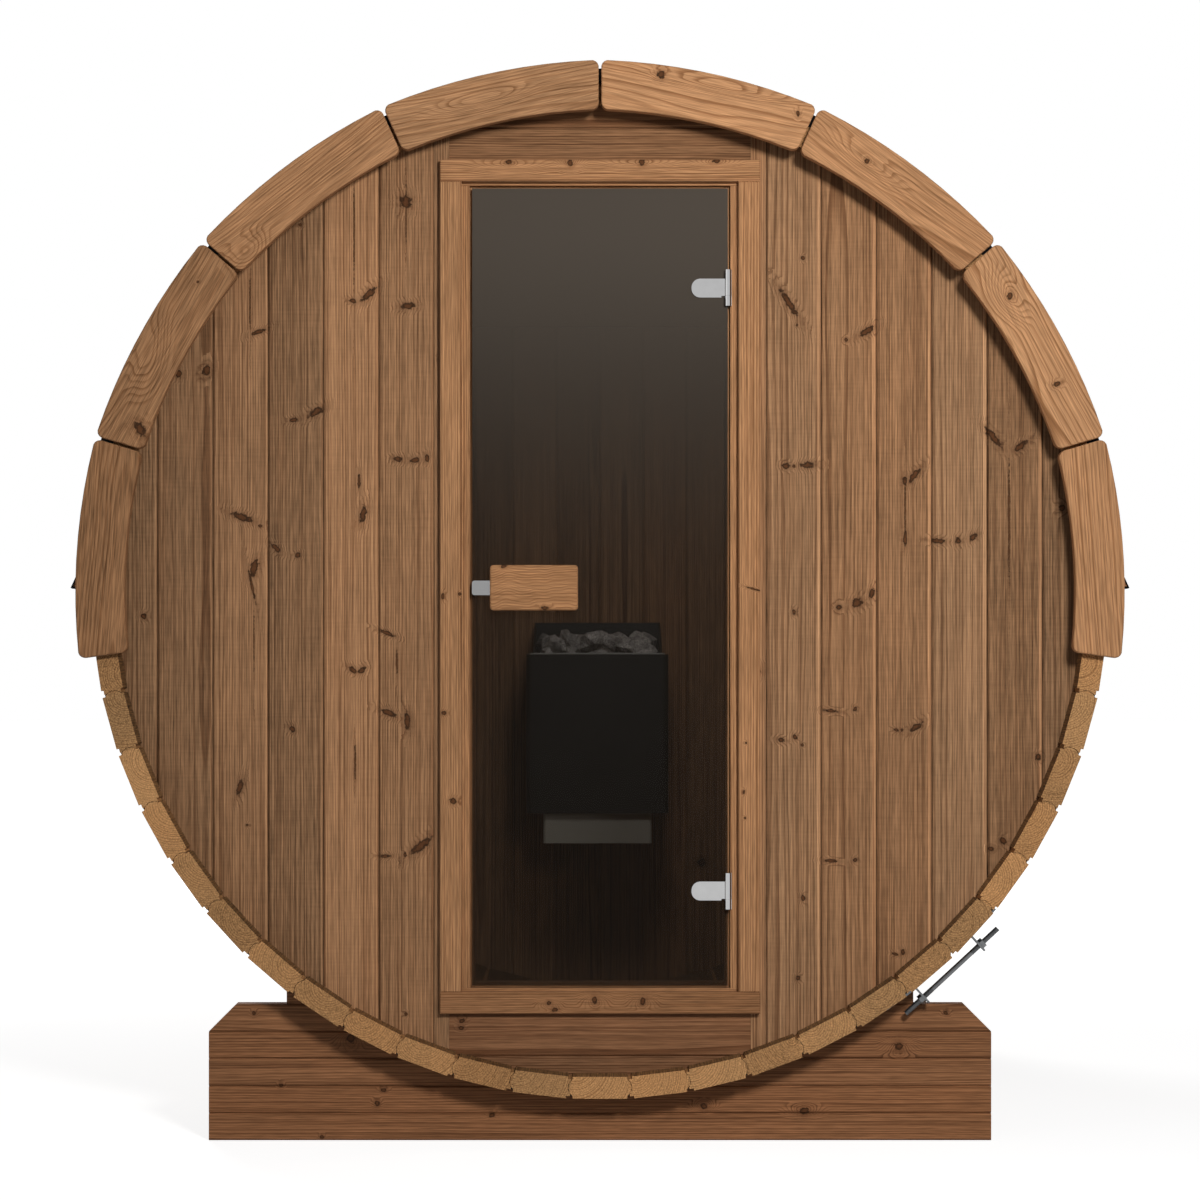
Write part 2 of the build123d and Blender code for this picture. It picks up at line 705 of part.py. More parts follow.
def heater_nodes():
    """Wall heater with its stones and control box, on a bracket on the back wall."""
    wall_face = -wall_back
    back = wall_face - heater_wall_gap
    front = back - heater_depth
    front_top = heater_bottom_height + heater_front_height
    back_top = heater_bottom_height + heater_back_height
    body = heater_prism(heater_width, (front, back), front_top, front_top, heater_bottom_height)
    body = fillet(body.edges().filter_by(Axis.Z).group_by(Axis.Y)[0], heater_corner_radius)
    body += heater_prism(heater_collar_width, (front, back), front_top, back_top, heater_bottom_height)
    inner_span = (front + heater_sheet, back - heater_sheet)
    hollow_low = heater_bottom_height + heater_sheet
    inner_width = heater_collar_width - 2 * heater_sheet
    hollow = heater_prism(inner_width, inner_span, front_top + back_top, back_top * 2, hollow_low)
    jacket = body - hollow
    bed = block(
        (-inner_width / 2 + heater_corner_radius, inner_width / 2 - heater_corner_radius),
        (inner_span[0] + fit_gap, inner_span[1] - fit_gap),
        (hollow_low, front_top + stone_bed_crown),
    )
    bed = fillet(bed.faces().sort_by(Axis.Z)[-1].edges(), stone_bed_edge_radius)
    box_outline = eased_corners(Rectangle(control_box_width, control_box_depth), control_box_corner_radius)
    box_middle = front + heater_corner_radius + control_box_depth / 2
    control_box = Pos(0, box_middle, heater_bottom_height) * extrude(box_outline, amount=-control_box_height)
    bracket_low = heater_bottom_height + heater_bracket_level
    bracket = block(
        (-heater_bracket_width / 2, heater_bracket_width / 2),
        (back, wall_face),
        (bracket_low, bracket_low + heater_bracket_height),
    )
    nodes = {
        "heater_jacket": jacket,
        "heater_stones": bed,
        "heater_control_box": control_box,
        "heater_bracket": bracket,
    }
    return {name: Pos(heater_offset) * solid for name, solid in nodes.items()}


def main():
    """Build every piece and write one file for each node."""
    os.makedirs("parts", exist_ok=True)
    nodes = {}
    for build in (
        barrel_nodes,
        wall_nodes,
        door_frame_nodes,
        door_nodes,
        fascia_nodes,
        hoop_nodes,
        roof_nodes,
        cradle_nodes,
        heater_nodes,
    ):
        nodes.update(build())
    for name, shape in nodes.items():
        export_step(shape, f"parts/{name}.step")


main()
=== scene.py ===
"""Looks of a barrel sauna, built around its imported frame: timber, glass, metal, roofing and heater."""
import logging
import math
import random
from dataclasses import dataclass
from enum import Enum
from itertools import product
from typing import Any, Iterator, Optional, Sequence, Union

import bmesh
import bpy
from mathutils import Matrix, Vector, noise


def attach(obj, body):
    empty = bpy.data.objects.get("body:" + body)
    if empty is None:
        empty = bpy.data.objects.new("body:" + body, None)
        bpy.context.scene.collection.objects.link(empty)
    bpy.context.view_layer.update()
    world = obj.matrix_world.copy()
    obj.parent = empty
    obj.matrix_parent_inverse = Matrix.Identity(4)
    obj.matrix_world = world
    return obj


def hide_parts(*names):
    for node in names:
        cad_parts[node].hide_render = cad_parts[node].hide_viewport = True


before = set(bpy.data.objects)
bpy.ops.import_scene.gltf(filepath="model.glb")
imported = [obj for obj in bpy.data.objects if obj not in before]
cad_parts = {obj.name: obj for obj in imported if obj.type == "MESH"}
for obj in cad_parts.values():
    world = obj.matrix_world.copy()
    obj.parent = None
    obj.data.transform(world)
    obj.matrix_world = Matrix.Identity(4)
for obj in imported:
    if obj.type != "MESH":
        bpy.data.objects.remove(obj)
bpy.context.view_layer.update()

LOG = logging.getLogger("barrel_sauna")

Colour = tuple[float, float, float]
Point = tuple[float, float, float]
Span = tuple[float, float]
Number = Union[float, "Wire"]


def paint(red: int, green: int, blue: int) -> Colour:
    """Turn a colour as a screen shows it into the linear colour that a shader takes.

    Args:
        red: Screen value from 0 to 255.
        green: Screen value from 0 to 255.
        blue: Screen value from 0 to 255.

    Returns:
        The linear colour.
    """
    shares = [value / 255 for value in (red, green, blue)]
    return tuple(s / 12.92 if s <= 0.04045 else ((s + 0.055) / 1.055) ** 2.4 for s in shares)


class Draw(Enum):
    """Seeds that keep the random numbers of one board apart."""

    HEART_SIDE = 0.37
    HEART_DEPTH = 5.71
    RING = 2.2
    TONE = 9.13
    HUE = 6.3


class Wire:
    """A number that runs through a material's nodes; arithmetic on it adds Math nodes."""

    def __init__(self, graph: "Graph", socket: bpy.types.NodeSocket) -> None:
        """Hold a socket and the graph that it belongs to."""
        self.graph = graph
        self.socket = socket

    def __add__(self, other: Number) -> "Wire":
        """Add."""
        return self.graph.math("ADD", self, other)

    def __sub__(self, other: Number) -> "Wire":
        """Subtract."""
        return self.graph.math("SUBTRACT", self, other)

    def __rsub__(self, other: Number) -> "Wire":
        """Subtract this from a number."""
        return self.graph.math("SUBTRACT", other, self)

    def __mul__(self, other: Number) -> "Wire":
        """Multiply."""
        return self.graph.math("MULTIPLY", self, other)

    def __truediv__(self, other: Number) -> "Wire":
        """Divide."""
        return self.graph.math("DIVIDE", self, other)

    def __gt__(self, other: Number) -> "Wire":
        """One where this is the greater, else zero."""
        return self.graph.math("GREATER_THAN", self, other)

    def __abs__(self) -> "Wire":
        """Size without the sign."""
        return self.graph.math("ABSOLUTE", self)

    __radd__ = __add__
    __rmul__ = __mul__


class Graph:
    """Node tree of a material or of the world."""

    def __init__(self, owner: Union[bpy.types.Material, bpy.types.World]) -> None:
        """Clear the owner's nodes to start afresh."""
        owner.use_nodes = True
        self.owner = owner
        self.tree = owner.node_tree
        self.tree.nodes.clear()

    def node(self, kind: str, settings: Optional[dict[str, Any]] = None,
             inputs: Optional[dict[Any, Any]] = None) -> bpy.types.Node:
        """Add a node.

        Args:
            kind: Node type without its prefix.
            settings: Properties, set before the sockets.
            inputs: Values or wires by socket name or number.

        Returns:
            The new node.
        """
        made = self.tree.nodes.new("ShaderNode" + kind)
        for name, value in (settings or {}).items():
            setattr(made, name, value)
        for key, value in (inputs or {}).items():
            if isinstance(value, Wire):
                self.tree.links.new(value.socket, made.inputs[key])
            else:
                made.inputs[key].default_value = value
        return made

    def wire(self, kind: str, settings: Optional[dict[str, Any]] = None,
             inputs: Optional[dict[Any, Any]] = None, output: Union[int, str] = 0) -> Wire:
        """Add a node and take one of its outputs."""
        return Wire(self, self.node(kind, settings, inputs).outputs[output])

    def math(self, operation: str, *values: Number) -> Wire:
        """Add a Math node."""
        return self.wire("Math", {"operation": operation}, dict(enumerate(values)))

    def vector(self, x: Number, y: Number, z: Number) -> Wire:
        """Join three numbers into a vector."""
        return self.wire("CombineXYZ", None, {0: x, 1: y, 2: z})

    def split(self, vector: Wire) -> tuple[Wire, Wire, Wire]:
        """Part a vector into its three numbers."""
        made = self.node("SeparateXYZ", None, {0: vector})
        return tuple(Wire(self, socket) for socket in made.outputs)

    def object_place(self) -> tuple[Wire, Wire, Wire]:
        """Place on the piece in its own coordinates."""
        return self.split(self.wire("TexCoord", output="Object"))

    def facing(self) -> tuple[Wire, Wire, Wire]:
        """Direction that the surface faces in the piece's own coordinates."""
        return self.split(self.wire("TexCoord", output="Normal"))

    def noise(self, at: Wire, scale: float = 1.0, detail: float = 2.0) -> Wire:
        """Soft noise from about 0 to 1."""
        return self.wire("TexNoise", None, {"Vector": at, "Scale": scale, "Detail": detail})

    def chance(self, number: Wire, draw: Draw) -> Wire:
        """One random number from 0 to 1 for each whole number."""
        return self.wire("TexWhiteNoise", {"noise_dimensions": "1D"}, {"W": number + draw.value})

    def fade(self, value: Number, start: float, end: float) -> Wire:
        """Smooth step from 0 at the start to 1 at the end."""
        sockets = {"Value": value, "From Min": start, "From Max": end}
        return self.wire("MapRange", {"interpolation_type": "SMOOTHSTEP"}, sockets)

    def mix(self, share: Number, first: Any, second: Any, blend: str = "MIX") -> Wire:
        """Mix two colours.

        Args:
            share: How much of the second colour shows.
            first: Colour or wire.
            second: Colour or wire.
            blend: How the second colour goes over the first.

        Returns:
            The mixed colour.
        """
        colours = [c if isinstance(c, Wire) else (*c, 1.0) for c in (first, second)]
        settings = {"data_type": "RGBA", "blend_type": blend}
        return self.wire("Mix", settings, {0: share, 6: colours[0], 7: colours[1]}, 2)

    def shade(self, colour: Any, factor: Wire) -> Wire:
        """Make a colour lighter or darker by a factor."""
        return self.mix(1.0, colour, self.vector(factor, factor, factor), "MULTIPLY")

    def surface(self, bump: Optional[Wire] = None, depth: float = 0.001,
                **sockets: Any) -> bpy.types.Material:
        """End the material in one surface shader.

        Args:
            bump: Height of the surface from 0 to 1.
            depth: What a height of 1 measures, in metres.
            **sockets: Values or wires by socket name, with underscores for spaces.

        Returns:
            The finished material.
        """
        inputs = {name.replace("_", " "): value for name, value in sockets.items()}
        for name, value in inputs.items():
            if isinstance(value, tuple):
                inputs[name] = (*value, 1.0)
        if bump is not None:
            inputs["Normal"] = self.wire("Bump", None, {"Height": bump, "Distance": depth})
        shader = self.wire("BsdfPrincipled", None, inputs)
        self.node("OutputMaterial", None, {"Surface": shader})
        return self.owner


@dataclass(frozen=True)
class PhotoView:
    """Where the photograph was taken from, in metres and in its own pixels."""

    size: float = 1200.0
    focal_pixels: float = 3030.0
    middle_column: float = 600.0
    horizon_row: float = 661.0
    eye_y: float = -6.68
    eye_height: float = 0.932
    sensor: float = 36.0

    def scale(self, y: float) -> float:
        """Metres that one pixel covers on an upright plane at y."""
        return (y - self.eye_y) / self.focal_pixels

    def place(self, column: float, row: float, y: float) -> tuple[float, float]:
        """Point of an upright plane that a pixel shows.

        Args:
            column: Pixel column.
            row: Pixel row.
            y: Place of the plane.

        Returns:
            The point's x and z.
        """
        scale = self.scale(y)
        return (column - self.middle_column) * scale, self.eye_height - (row - self.horizon_row) * scale


PHOTO = PhotoView()


@dataclass(frozen=True)
class Barrel:
    """Sizes of the barrel that its boards are numbered by, in metres."""

    axis_height: float = 1.067
    middle_reach: float = 0.952
    stave_step: float = math.tau / 53
    fascia_step: float = math.radians(98.1 / 4)
    fascia_height: float = 1.075
    fascia_reach: float = 0.953


BARREL = Barrel()


class Lay(Enum):
    """Which way the boards of a finish lie, and so how their grain runs."""

    UPRIGHT = "upright"
    LEVEL = "level"
    LENGTHWISE = "lengthwise"
    FASCIA = "round the fascia"
    STAVES = "round the barrel"


FAR_FROM_KNOTS = 9.0


@dataclass(frozen=True)
class KnotSheet:
    """Knots seen on one upright plane of the photograph.

    Each row holds a column, a row, a half width and a half height in pixels, and a lean in degrees.
    """

    y: float
    rows: tuple[tuple[float, float, float, float, float], ...]

    def field(self, graph: Graph, x: Wire, z: Wire) -> Wire:
        """Distance to the nearest knot, where 1 is its rim.

        Args:
            graph: Material to add to.
            x: Place to the right.
            z: Place upwards.

        Returns:
            The distance.
        """
        at = graph.vector(x, z, 1.0)
        nearest: Number = FAR_FROM_KNOTS ** 2
        for column, row, half_width, half_height, lean in self.rows:
            place = Vector(PHOTO.place(column, row, self.y))
            turn = math.radians(lean)
            along = Vector((math.cos(turn), math.sin(turn)))
            reaches = []
            for axis, half in ((along, half_width), (along.orthogonal(), half_height)):
                axis = axis / (half * PHOTO.scale(self.y))
                sockets = {0: at, 1: (axis.x, axis.y, -axis.dot(place))}
                reaches.append(graph.wire("VectorMath", {"operation": "DOT_PRODUCT"}, sockets, "Value"))
            square = reaches[0] * reaches[0]
            square = graph.math("MULTIPLY_ADD", reaches[1], reaches[1], square)
            nearest = graph.math("MINIMUM", square, nearest)
        return graph.math("SQRT", nearest)


@dataclass(frozen=True)
class Grain:
    """Noise stretched along boards: changes to the metre each way, step between boards, and detail."""

    along: float
    across: float
    inward: float
    board: float
    detail: float

    def field(self, g: Graph, place: Sequence[Wire]) -> Wire:
        """Noise of the boards.

        Args:
            g: Material to add to.
            place: Places along, across and into the board, and its number.

        Returns:
            The noise, from about 0 to 1.
        """
        along, across, depth, number = place
        third = depth * self.inward + number * self.board
        return g.noise(g.vector(along * self.along, across * self.across, third), 1.0, self.detail)


FIBRE = Grain(20.0, 480.0, 480.0, 1.0, 2.0)
STREAK = Grain(1.3, 190.0, 190.0, 2.3, 2.0)
VEIN = Grain(2.4, 330.0, 330.0, 4.1, 1.0)
CLOUD = Grain(5.0, 16.0, 0.0, 1.9, 3.0)
RIPPLE = Grain(230.0, 9.0, 0.0, 1.0, 1.0)
FEATHER = Grain(160.0, 30.0, 0.0, 1.0, 2.0)
KNOT_WOBBLE = Grain(130.0, 130.0, 0.0, 130.0, 3.0)


@dataclass(frozen=True)
class Wood:
    """Heat-treated softwood: growth rings about each board's own heart, fibres, tone and knots."""

    name: str
    lay: Lay
    pale: Colour
    deep: Colour
    first_edge: float = 0.0
    pitch: float = 1.0
    mirrored: bool = False
    middle_depth: float = 0.805
    ring: float = 0.0044
    ring_share: float = 0.85
    wander: float = 0.006
    roam: float = 0.9
    heart_side: float = 0.20
    heart_depth: float = 0.030
    tone_spread: float = 0.16
    hue_share: float = 0.5
    streak_share: float = 0.40
    vein_share: float = 0.30
    # strip and highlight_lift paint a highlight on one chamfered edge of each board
    strip: float = 0.0
    highlight_lift: float = 0.0
    groove: float = 0.0024
    groove_shade: float = 0.5
    knot_reach: float = 0.010
    knot_cell: Optional[float] = 0.16
    knots: Optional[KnotSheet] = None
    swirls: Optional[KnotSheet] = None
    tones: tuple[tuple[int, float], ...] = ()
    roughness: float = 0.62
    ends_show: bool = False
    # inner_painted_shade: lightness left by the painted shade on faces inside the barrel
    inner_painted_shade: float = 1.0
    knot_paint: Colour = paint(38, 23, 13)
    knot_heart: Colour = paint(86, 53, 31)
    knot_step: float = 7.31
    knot_wobble: float = 1.6
    knot_push: float = 1.2
    swirl_turns: float = 5.0
    heart_spread: float = 0.03
    ring_swing: float = 2.4
    streak_span: Span = (0.46, 0.72)
    vein_span: Span = (0.50, 0.68)
    cloud_share: float = 0.40
    ripple_share: float = 0.22
    fibre_share: float = 1.35
    fibre_depth: float = 0.0005
    highlight_blend: float = 0.002
    end_grain: float = 300.0
    mottle_share: float = 1.3
    inner_face: Span = (0.0198, 0.0204)
    warm_cast: Colour = (1.10, 0.96, 0.85)
    halo_cast: Colour = (0.50, 0.42, 0.38)
    halo_share: float = 0.45
    sheen: float = 0.13

    def axes(self, g: Graph) -> tuple[Wire, Wire, Wire, Wire]:
        """Coordinates of a board.

        Args:
            g: Material to add to.

        Returns:
            Places along the grain, across the board and into it, and the board's number.
        """
        x, y, z = g.object_place()
        end = (y > 0.0) * 100.0
        depth = abs(y) - self.middle_depth
        if self.lay is Lay.FASCIA:
            along, reach, number = self.round_axes(g, x, z - BARREL.fascia_height, BARREL.fascia_step, 0.0)
            return along, reach - BARREL.fascia_reach, depth, number + end
        if self.lay is Lay.STAVES:
            across, reach, number = self.round_axes(g, x, BARREL.axis_height - z, BARREL.stave_step, 0.5)
            return y, across, reach - BARREL.middle_reach, number
        side, along = (z, x) if self.lay is Lay.LEVEL else (x, z)
        if self.lay is Lay.LENGTHWISE:
            along, depth = y, z
        spread = abs(side) if self.mirrored else side
        number = g.math("FLOOR", (spread - self.first_edge) / self.pitch)
        across = spread - self.first_edge - (number + 0.5) * self.pitch
        if self.mirrored:
            number = number + (side > 0.0) * 40.0
        return along, across, depth, number + end

    @staticmethod
    def round_axes(g: Graph, x: Wire, rise: Wire, step: float, shift: float) -> tuple[Wire, Wire, Wire]:
        """Coordinates of a board in a ring of boards.

        Args:
            g: Material to add to.
            x: Place to the right of the ring's middle.
            rise: Place away from the ring's middle.
            step: Angle that one board takes.
            shift: Share of a step by which the first board starts early.

        Returns:
            Place round the ring, reach from its middle, and the board's number.
        """
        number = g.math("FLOOR", g.math("ARCTAN2", x, rise) / step + shift)
        middle = (number + (0.5 - shift)) * step
        sine, cosine = g.math("SINE", middle), g.math("COSINE", middle)
        return x * cosine - rise * sine, x * sine + rise * cosine, number

    def knot_field(self, g: Graph, place: Sequence[Wire]) -> Wire:
        """Distance to the nearest knot.

        Args:
            g: Material to add to.
            place: Places along, across and into the board, and its number.

        Returns:
            The distance, where 1 is the knot's rim.
        """
        along, across, _, number = place
        reach: Number = FAR_FROM_KNOTS
        if self.knot_cell is not None:
            cell = 1 / self.knot_cell
            at = g.vector(along * cell, across * cell, number * self.knot_step)
            wild = g.wire("TexVoronoi", None, {"Vector": at, "Scale": 1.0}, "Distance")
            reach = wild * (self.knot_cell / self.knot_reach)
        if self.knots is not None:
            x, _, z = g.object_place()
            reach = g.math("MINIMUM", self.knots.field(g, x, z), reach)
        return reach + (KNOT_WOBBLE.field(g, place) - 0.5) * self.knot_wobble

    def rings(self, g: Graph, place: Sequence[Wire], halo: Wire) -> Wire:
        """Dark latewood lines about the board's own heart.

        Args:
            g: Material to add to.
            place: Places along, across and into the board, and its number.
            halo: How near a knot pushes the rings aside.

        Returns:
            Darkness of the lines, from 0 to 1.
        """
        along, across, depth, number = place
        slow = Grain(self.roam, 5.0, 5.0, 5.17, 2.0).field(g, place) - 0.5
        side = across + (g.chance(number, Draw.HEART_SIDE) - 0.5) * self.heart_side + slow * self.wander
        sunk = g.chance(number, Draw.HEART_DEPTH) * self.heart_spread
        inward = depth + self.heart_depth + sunk + slow * self.wander * 1.5
        reach = g.math("SQRT", side * side + inward * inward)
        uneven = g.noise(g.vector(reach * 70.0, number * 3.3, along * 1.5), 1.0, 1.0)
        phase = reach / self.ring + uneven * self.ring_swing + halo * self.knot_push
        if self.swirls is not None:
            x, _, z = g.object_place()
            phase = phase - g.fade(self.swirls.field(g, x, z), 0.0, 1.6) * self.swirl_turns
        saw = g.math("FRACT", phase)
        late = g.fade(saw, 0.40, 0.90) * (1.0 - g.fade(saw, 0.92, 1.0))
        strength = g.chance(g.math("FLOOR", phase) + number * 31.0, Draw.RING)
        return late * (0.35 + strength * 0.65)

    def board_tone(self, g: Graph, number: Wire) -> Wire:
        """Lightness of each board, either given or by chance.

        Args:
            g: Material to add to.
            number: Number of the board.

        Returns:
            The lightness, about 1.
        """
        if not self.tones:
            return 1.0 + (g.chance(number, Draw.TONE) - 0.5) * (2.0 * self.tone_spread)
        tone: Number = 0.0
        for board, value in self.tones:
            tone = tone + g.math("COMPARE", number, float(board), 0.5) * value
        return tone

    def edge_tone(self, g: Graph, tone: Wire, across: Wire) -> Wire:
        """Paint a highlight on the strip along one chamfered edge of each board, as if the lamp caught it,
        and darken the grooves between boards.

        Args:
            g: Material to add to.
            tone: Lightness of the board.
            across: Place across the board.

        Returns:
            The new lightness.
        """
        edge = self.pitch / 2
        start = edge - abs(self.strip)
        towards = across * math.copysign(1.0, self.strip)
        # painted highlight on the chamfer
        lift = g.fade(towards, start, start + self.highlight_blend) * self.highlight_lift
        groove = g.fade(abs(across), edge - self.groove, edge - self.groove / 2) * self.groove_shade
        return (tone + lift) * (1.0 - groove)

    def cut_ends(self, g: Graph, place: Sequence[Wire], dark: Wire, late: Wire,
                 tone: Wire) -> tuple[Wire, Wire, Wire]:
        """Show mottled end grain where boards are cut across, and paint shade on the faces inside the barrel,
        which lie in its recess.

        Args:
            g: Material to add to.
            place: Places along, across and into the board, and its number.
            dark: Darkness of the streaks.
            late: Darkness of the latewood.
            tone: Lightness of the board.

        Returns:
            The new streaks, latewood and lightness.
        """
        _, across, depth, number = place
        _, facing_y, _ = g.facing()
        face = 1.0 - g.fade(abs(facing_y), 0.6, 0.9)
        fine = self.end_grain
        mottle = g.noise(g.vector(across * fine, depth * fine, number * 3.1), 1.0, 4.0) - 0.5
        tone = tone + mottle * (1.0 - face) * self.mottle_share
        # painted shade on the inner faces
        inside = face * g.fade(0.0 - depth, *self.inner_face)
        tone = tone * (1.0 - inside * (1.0 - self.inner_painted_shade))
        return dark * face, late * (face * 0.25 + 0.75), tone

    def knotted(self, g: Graph, place: Sequence[Wire], colour: Wire, knot: Wire, fibre: Wire) -> Wire:
        """Lay the knots over the boards.

        Args:
            g: Material to add to.
            place: Places along, across and into the board, and its number.
            colour: Colour of the boards.
            knot: Distance to the nearest knot.
            fibre: Noise of the fibres, about zero.

        Returns:
            The colour with the knots in it.
        """
        halo = self.halo(g, knot)
        feather = FEATHER.field(g, place)
        colour = g.mix(halo * g.fade(feather, 0.45, 0.65) * self.halo_share, colour, self.pale)
        burnt = g.mix(1.0, colour, self.halo_cast, "MULTIPLY")
        colour = g.mix(halo * halo * self.halo_share, colour, burnt)
        heart = g.mix(g.fade(knot + fibre * 0.6, 0.25, 0.80), self.knot_heart, self.knot_paint)
        core = 1.0 - g.fade(knot, 0.75, 1.15)
        return g.mix(core * (0.80 + feather * 0.25), colour, heart)

    @staticmethod
    def halo(g: Graph, knot: Wire) -> Wire:
        """How much a place lies in the halo of a knot."""
        return 1.0 - g.fade(knot, 0.9, 3.2)

    def material(self) -> bpy.types.Material:
        """Make the material.

        Returns:
            The material.
        """
        g = Graph(bpy.data.materials.new(self.name))
        place = self.axes(g)
        _, across, _, number = place
        knot = self.knot_field(g, place)
        late = self.rings(g, place, self.halo(g, knot))
        fibre = FIBRE.field(g, place) - 0.5
        cloud = CLOUD.field(g, place) - 0.5
        dark = g.fade(STREAK.field(g, place), *self.streak_span) * self.streak_share
        dark = dark + g.fade(VEIN.field(g, place), *self.vein_span) * self.vein_share
        tone = self.board_tone(g, number) + cloud * self.cloud_share
        if self.strip:
            ripple = RIPPLE.field(g, place) - 0.5
            tone = self.edge_tone(g, tone + ripple * self.ripple_share, across)
        if self.ends_show:
            dark, late, tone = self.cut_ends(g, place, dark, late, tone)
        colour = g.mix(late * self.ring_share, self.pale, self.deep)
        colour = g.mix(dark, colour, self.deep)
        warm = g.mix(1.0, colour, self.warm_cast, "MULTIPLY")
        warmth = g.fade(cloud, -0.25, 0.35) * 0.3 + g.chance(number, Draw.HUE)
        colour = g.mix(warmth * self.hue_share, colour, warm)
        colour = g.shade(colour, tone + fibre * self.fibre_share)
        colour = self.knotted(g, place, colour, knot, fibre)
        rough = self.roughness + fibre * 0.12 - late * 0.06
        return g.surface(fibre + 0.5, self.fibre_depth, Base_Color=colour, Roughness=rough,
                         Specular_IOR_Level=self.sheen)


@dataclass(frozen=True)
class Metal:
    """Bare or plated metal with fine brushing and slight stains."""

    name: str
    colour: Colour
    roughness: float = 0.35
    stain: float = 0.12
    stain_scale: float = 60.0
    brushing: float = 160.0
    stretch: float = 8.0
    depth: float = 1.0
    bump: float = 0.0001

    def material(self) -> bpy.types.Material:
        """Make the material.

        Returns:
            The material.
        """
        g = Graph(bpy.data.materials.new(self.name))
        x, y, z = g.object_place()
        fine = self.brushing
        brush = g.noise(g.vector(x * fine, y * fine, z * fine * self.stretch), 1.0, 2.0) - 0.5
        brush = brush * self.depth
        blot = g.noise(g.vector(x, y, z), self.stain_scale, 3.0) - 0.5
        colour = g.shade(self.colour, 1.0 + blot * self.stain)
        rough = self.roughness + brush * 0.18 + blot * 0.10
        return g.surface(brush, self.bump, Base_Color=colour, Metallic=1.0, Roughness=rough)


@dataclass(frozen=True)
class Coating:
    """Paint or enamel on metal, with a fine orange-peel surface and dust."""

    name: str
    colour: Colour
    roughness: float = 0.45
    dust: Colour = (0.05, 0.047, 0.042)
    dust_share: float = 0.15
    dust_scale: float = 7.0
    peel_scale: float = 900.0
    peel_depth: float = 0.00015
    sheen: float = 0.5

    def material(self) -> bpy.types.Material:
        """Make the material.

        Returns:
            The material.
        """
        g = Graph(bpy.data.materials.new(self.name))
        at = g.vector(*g.object_place())
        peel = g.noise(at, self.peel_scale, 1.0)
        drift = g.fade(g.noise(at, self.dust_scale, 4.0), 0.45, 0.75)
        colour = g.mix(drift * self.dust_share, self.colour, self.dust)
        rough = self.roughness + drift * 0.12 + (peel - 0.5) * 0.08
        return g.surface(peel, self.peel_depth, Base_Color=colour, Roughness=rough,
                         Specular_IOR_Level=self.sheen)


TAB_TONE = "tab_tone"


@dataclass(frozen=True)
class Granules:
    """Bitumen shingles covered in crushed slate."""

    name: str
    dark: Colour = (0.011, 0.011, 0.012)
    light: Colour = (0.085, 0.085, 0.089)
    grain: float = 620.0
    grain_depth: float = 0.0008
    patch_scale: float = 5.0

    def material(self) -> bpy.types.Material:
        """Make the material.

        Returns:
            The material.
        """
        g = Graph(bpy.data.materials.new(self.name))
        at = g.vector(*g.object_place())
        speck = g.wire("TexVoronoi", None, {"Vector": at, "Scale": self.grain}, "Color")
        bright = g.split(speck)[0]
        patch = g.noise(at, self.patch_scale, 3.0)
        tab = g.wire("Attribute", {"attribute_name": TAB_TONE}, None, "Fac")
        colour = g.mix(bright * bright, self.dark, self.light)
        colour = g.shade(colour, 0.45 + patch * 0.5 + tab * 0.6)
        return g.surface(bright, self.grain_depth, Base_Color=colour, Roughness=0.88,
                         Specular_IOR_Level=0.25)


@dataclass(frozen=True)
class Stone:
    """Rough dark igneous stone with pale crystals."""

    name: str
    dark: Colour = (0.26, 0.24, 0.22)
    light: Colour = (0.60, 0.55, 0.50)
    patch_scale: float = 38.0
    crystal_scale: float = 420.0
    pit_scale: float = 160.0
    pit_depth: float = 0.002

    def material(self) -> bpy.types.Material:
        """Make the material.

        Returns:
            The material.
        """
        g = Graph(bpy.data.materials.new(self.name))
        at = g.vector(*g.object_place())
        patch = g.noise(at, self.patch_scale, 4.0)
        speck = g.wire("TexVoronoi", None, {"Vector": at, "Scale": self.crystal_scale}, "Color")
        crystal = g.split(speck)[0]
        colour = g.mix(g.fade(patch, 0.3, 0.7), self.dark, self.light)
        colour = g.shade(colour, 0.45 + crystal * 0.9)
        pits = g.noise(at, self.pit_scale, 4.0)
        return g.surface(pits, self.pit_depth, Base_Color=colour, Roughness=0.85)


@dataclass(frozen=True)
class TintedGlass:
    """Bronze tinted safety glass, with a painted reflection that makes it paler and more opaque towards the
    top and painted shade that darkens it towards the foot.
    """

    name: str
    low: float = 0.305
    high: float = 1.845
    tint_top_painted_reflection: Colour = (0.088, 0.072, 0.057)
    tint_foot_painted_shade: Colour = (0.011, 0.0085, 0.0062)
    painted_gradient_span: Span = (0.45, 1.0)
    cover_foot: float = 0.50
    painted_reflection_rise: float = 0.42
    painted_reflection_span: Span = (0.45, 0.95)

    def material(self) -> bpy.types.Material:
        """Make the material.

        Returns:
            The material.
        """
        g = Graph(bpy.data.materials.new(self.name))
        _, _, z = g.object_place()
        share = (z - self.low) / (self.high - self.low)
        # painted reflection and shade: tint and cover change with height
        colour = g.mix(g.fade(share, *self.painted_gradient_span), self.tint_foot_painted_shade, self.tint_top_painted_reflection)
        cover = self.cover_foot + g.fade(share, *self.painted_reflection_span) * self.painted_reflection_rise
        return g.surface(Base_Color=colour, Roughness=0.04, Alpha=cover, Specular_IOR_Level=0.04)


Finish = Union[Wood, Metal, Coating, Granules, Stone, TintedGlass]


def dress(finish: Finish, *nodes: str) -> None:
    """Give nodes of the frame a finish.

    Args:
        finish: What the nodes are made of.
        *nodes: Names of the nodes.
    """
    material = finish.material()
    for node in nodes:
        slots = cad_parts[node].data.materials
        slots.clear()
        slots.append(material)
    LOG.info("dressed %d nodes in %s", len(nodes), finish.name)


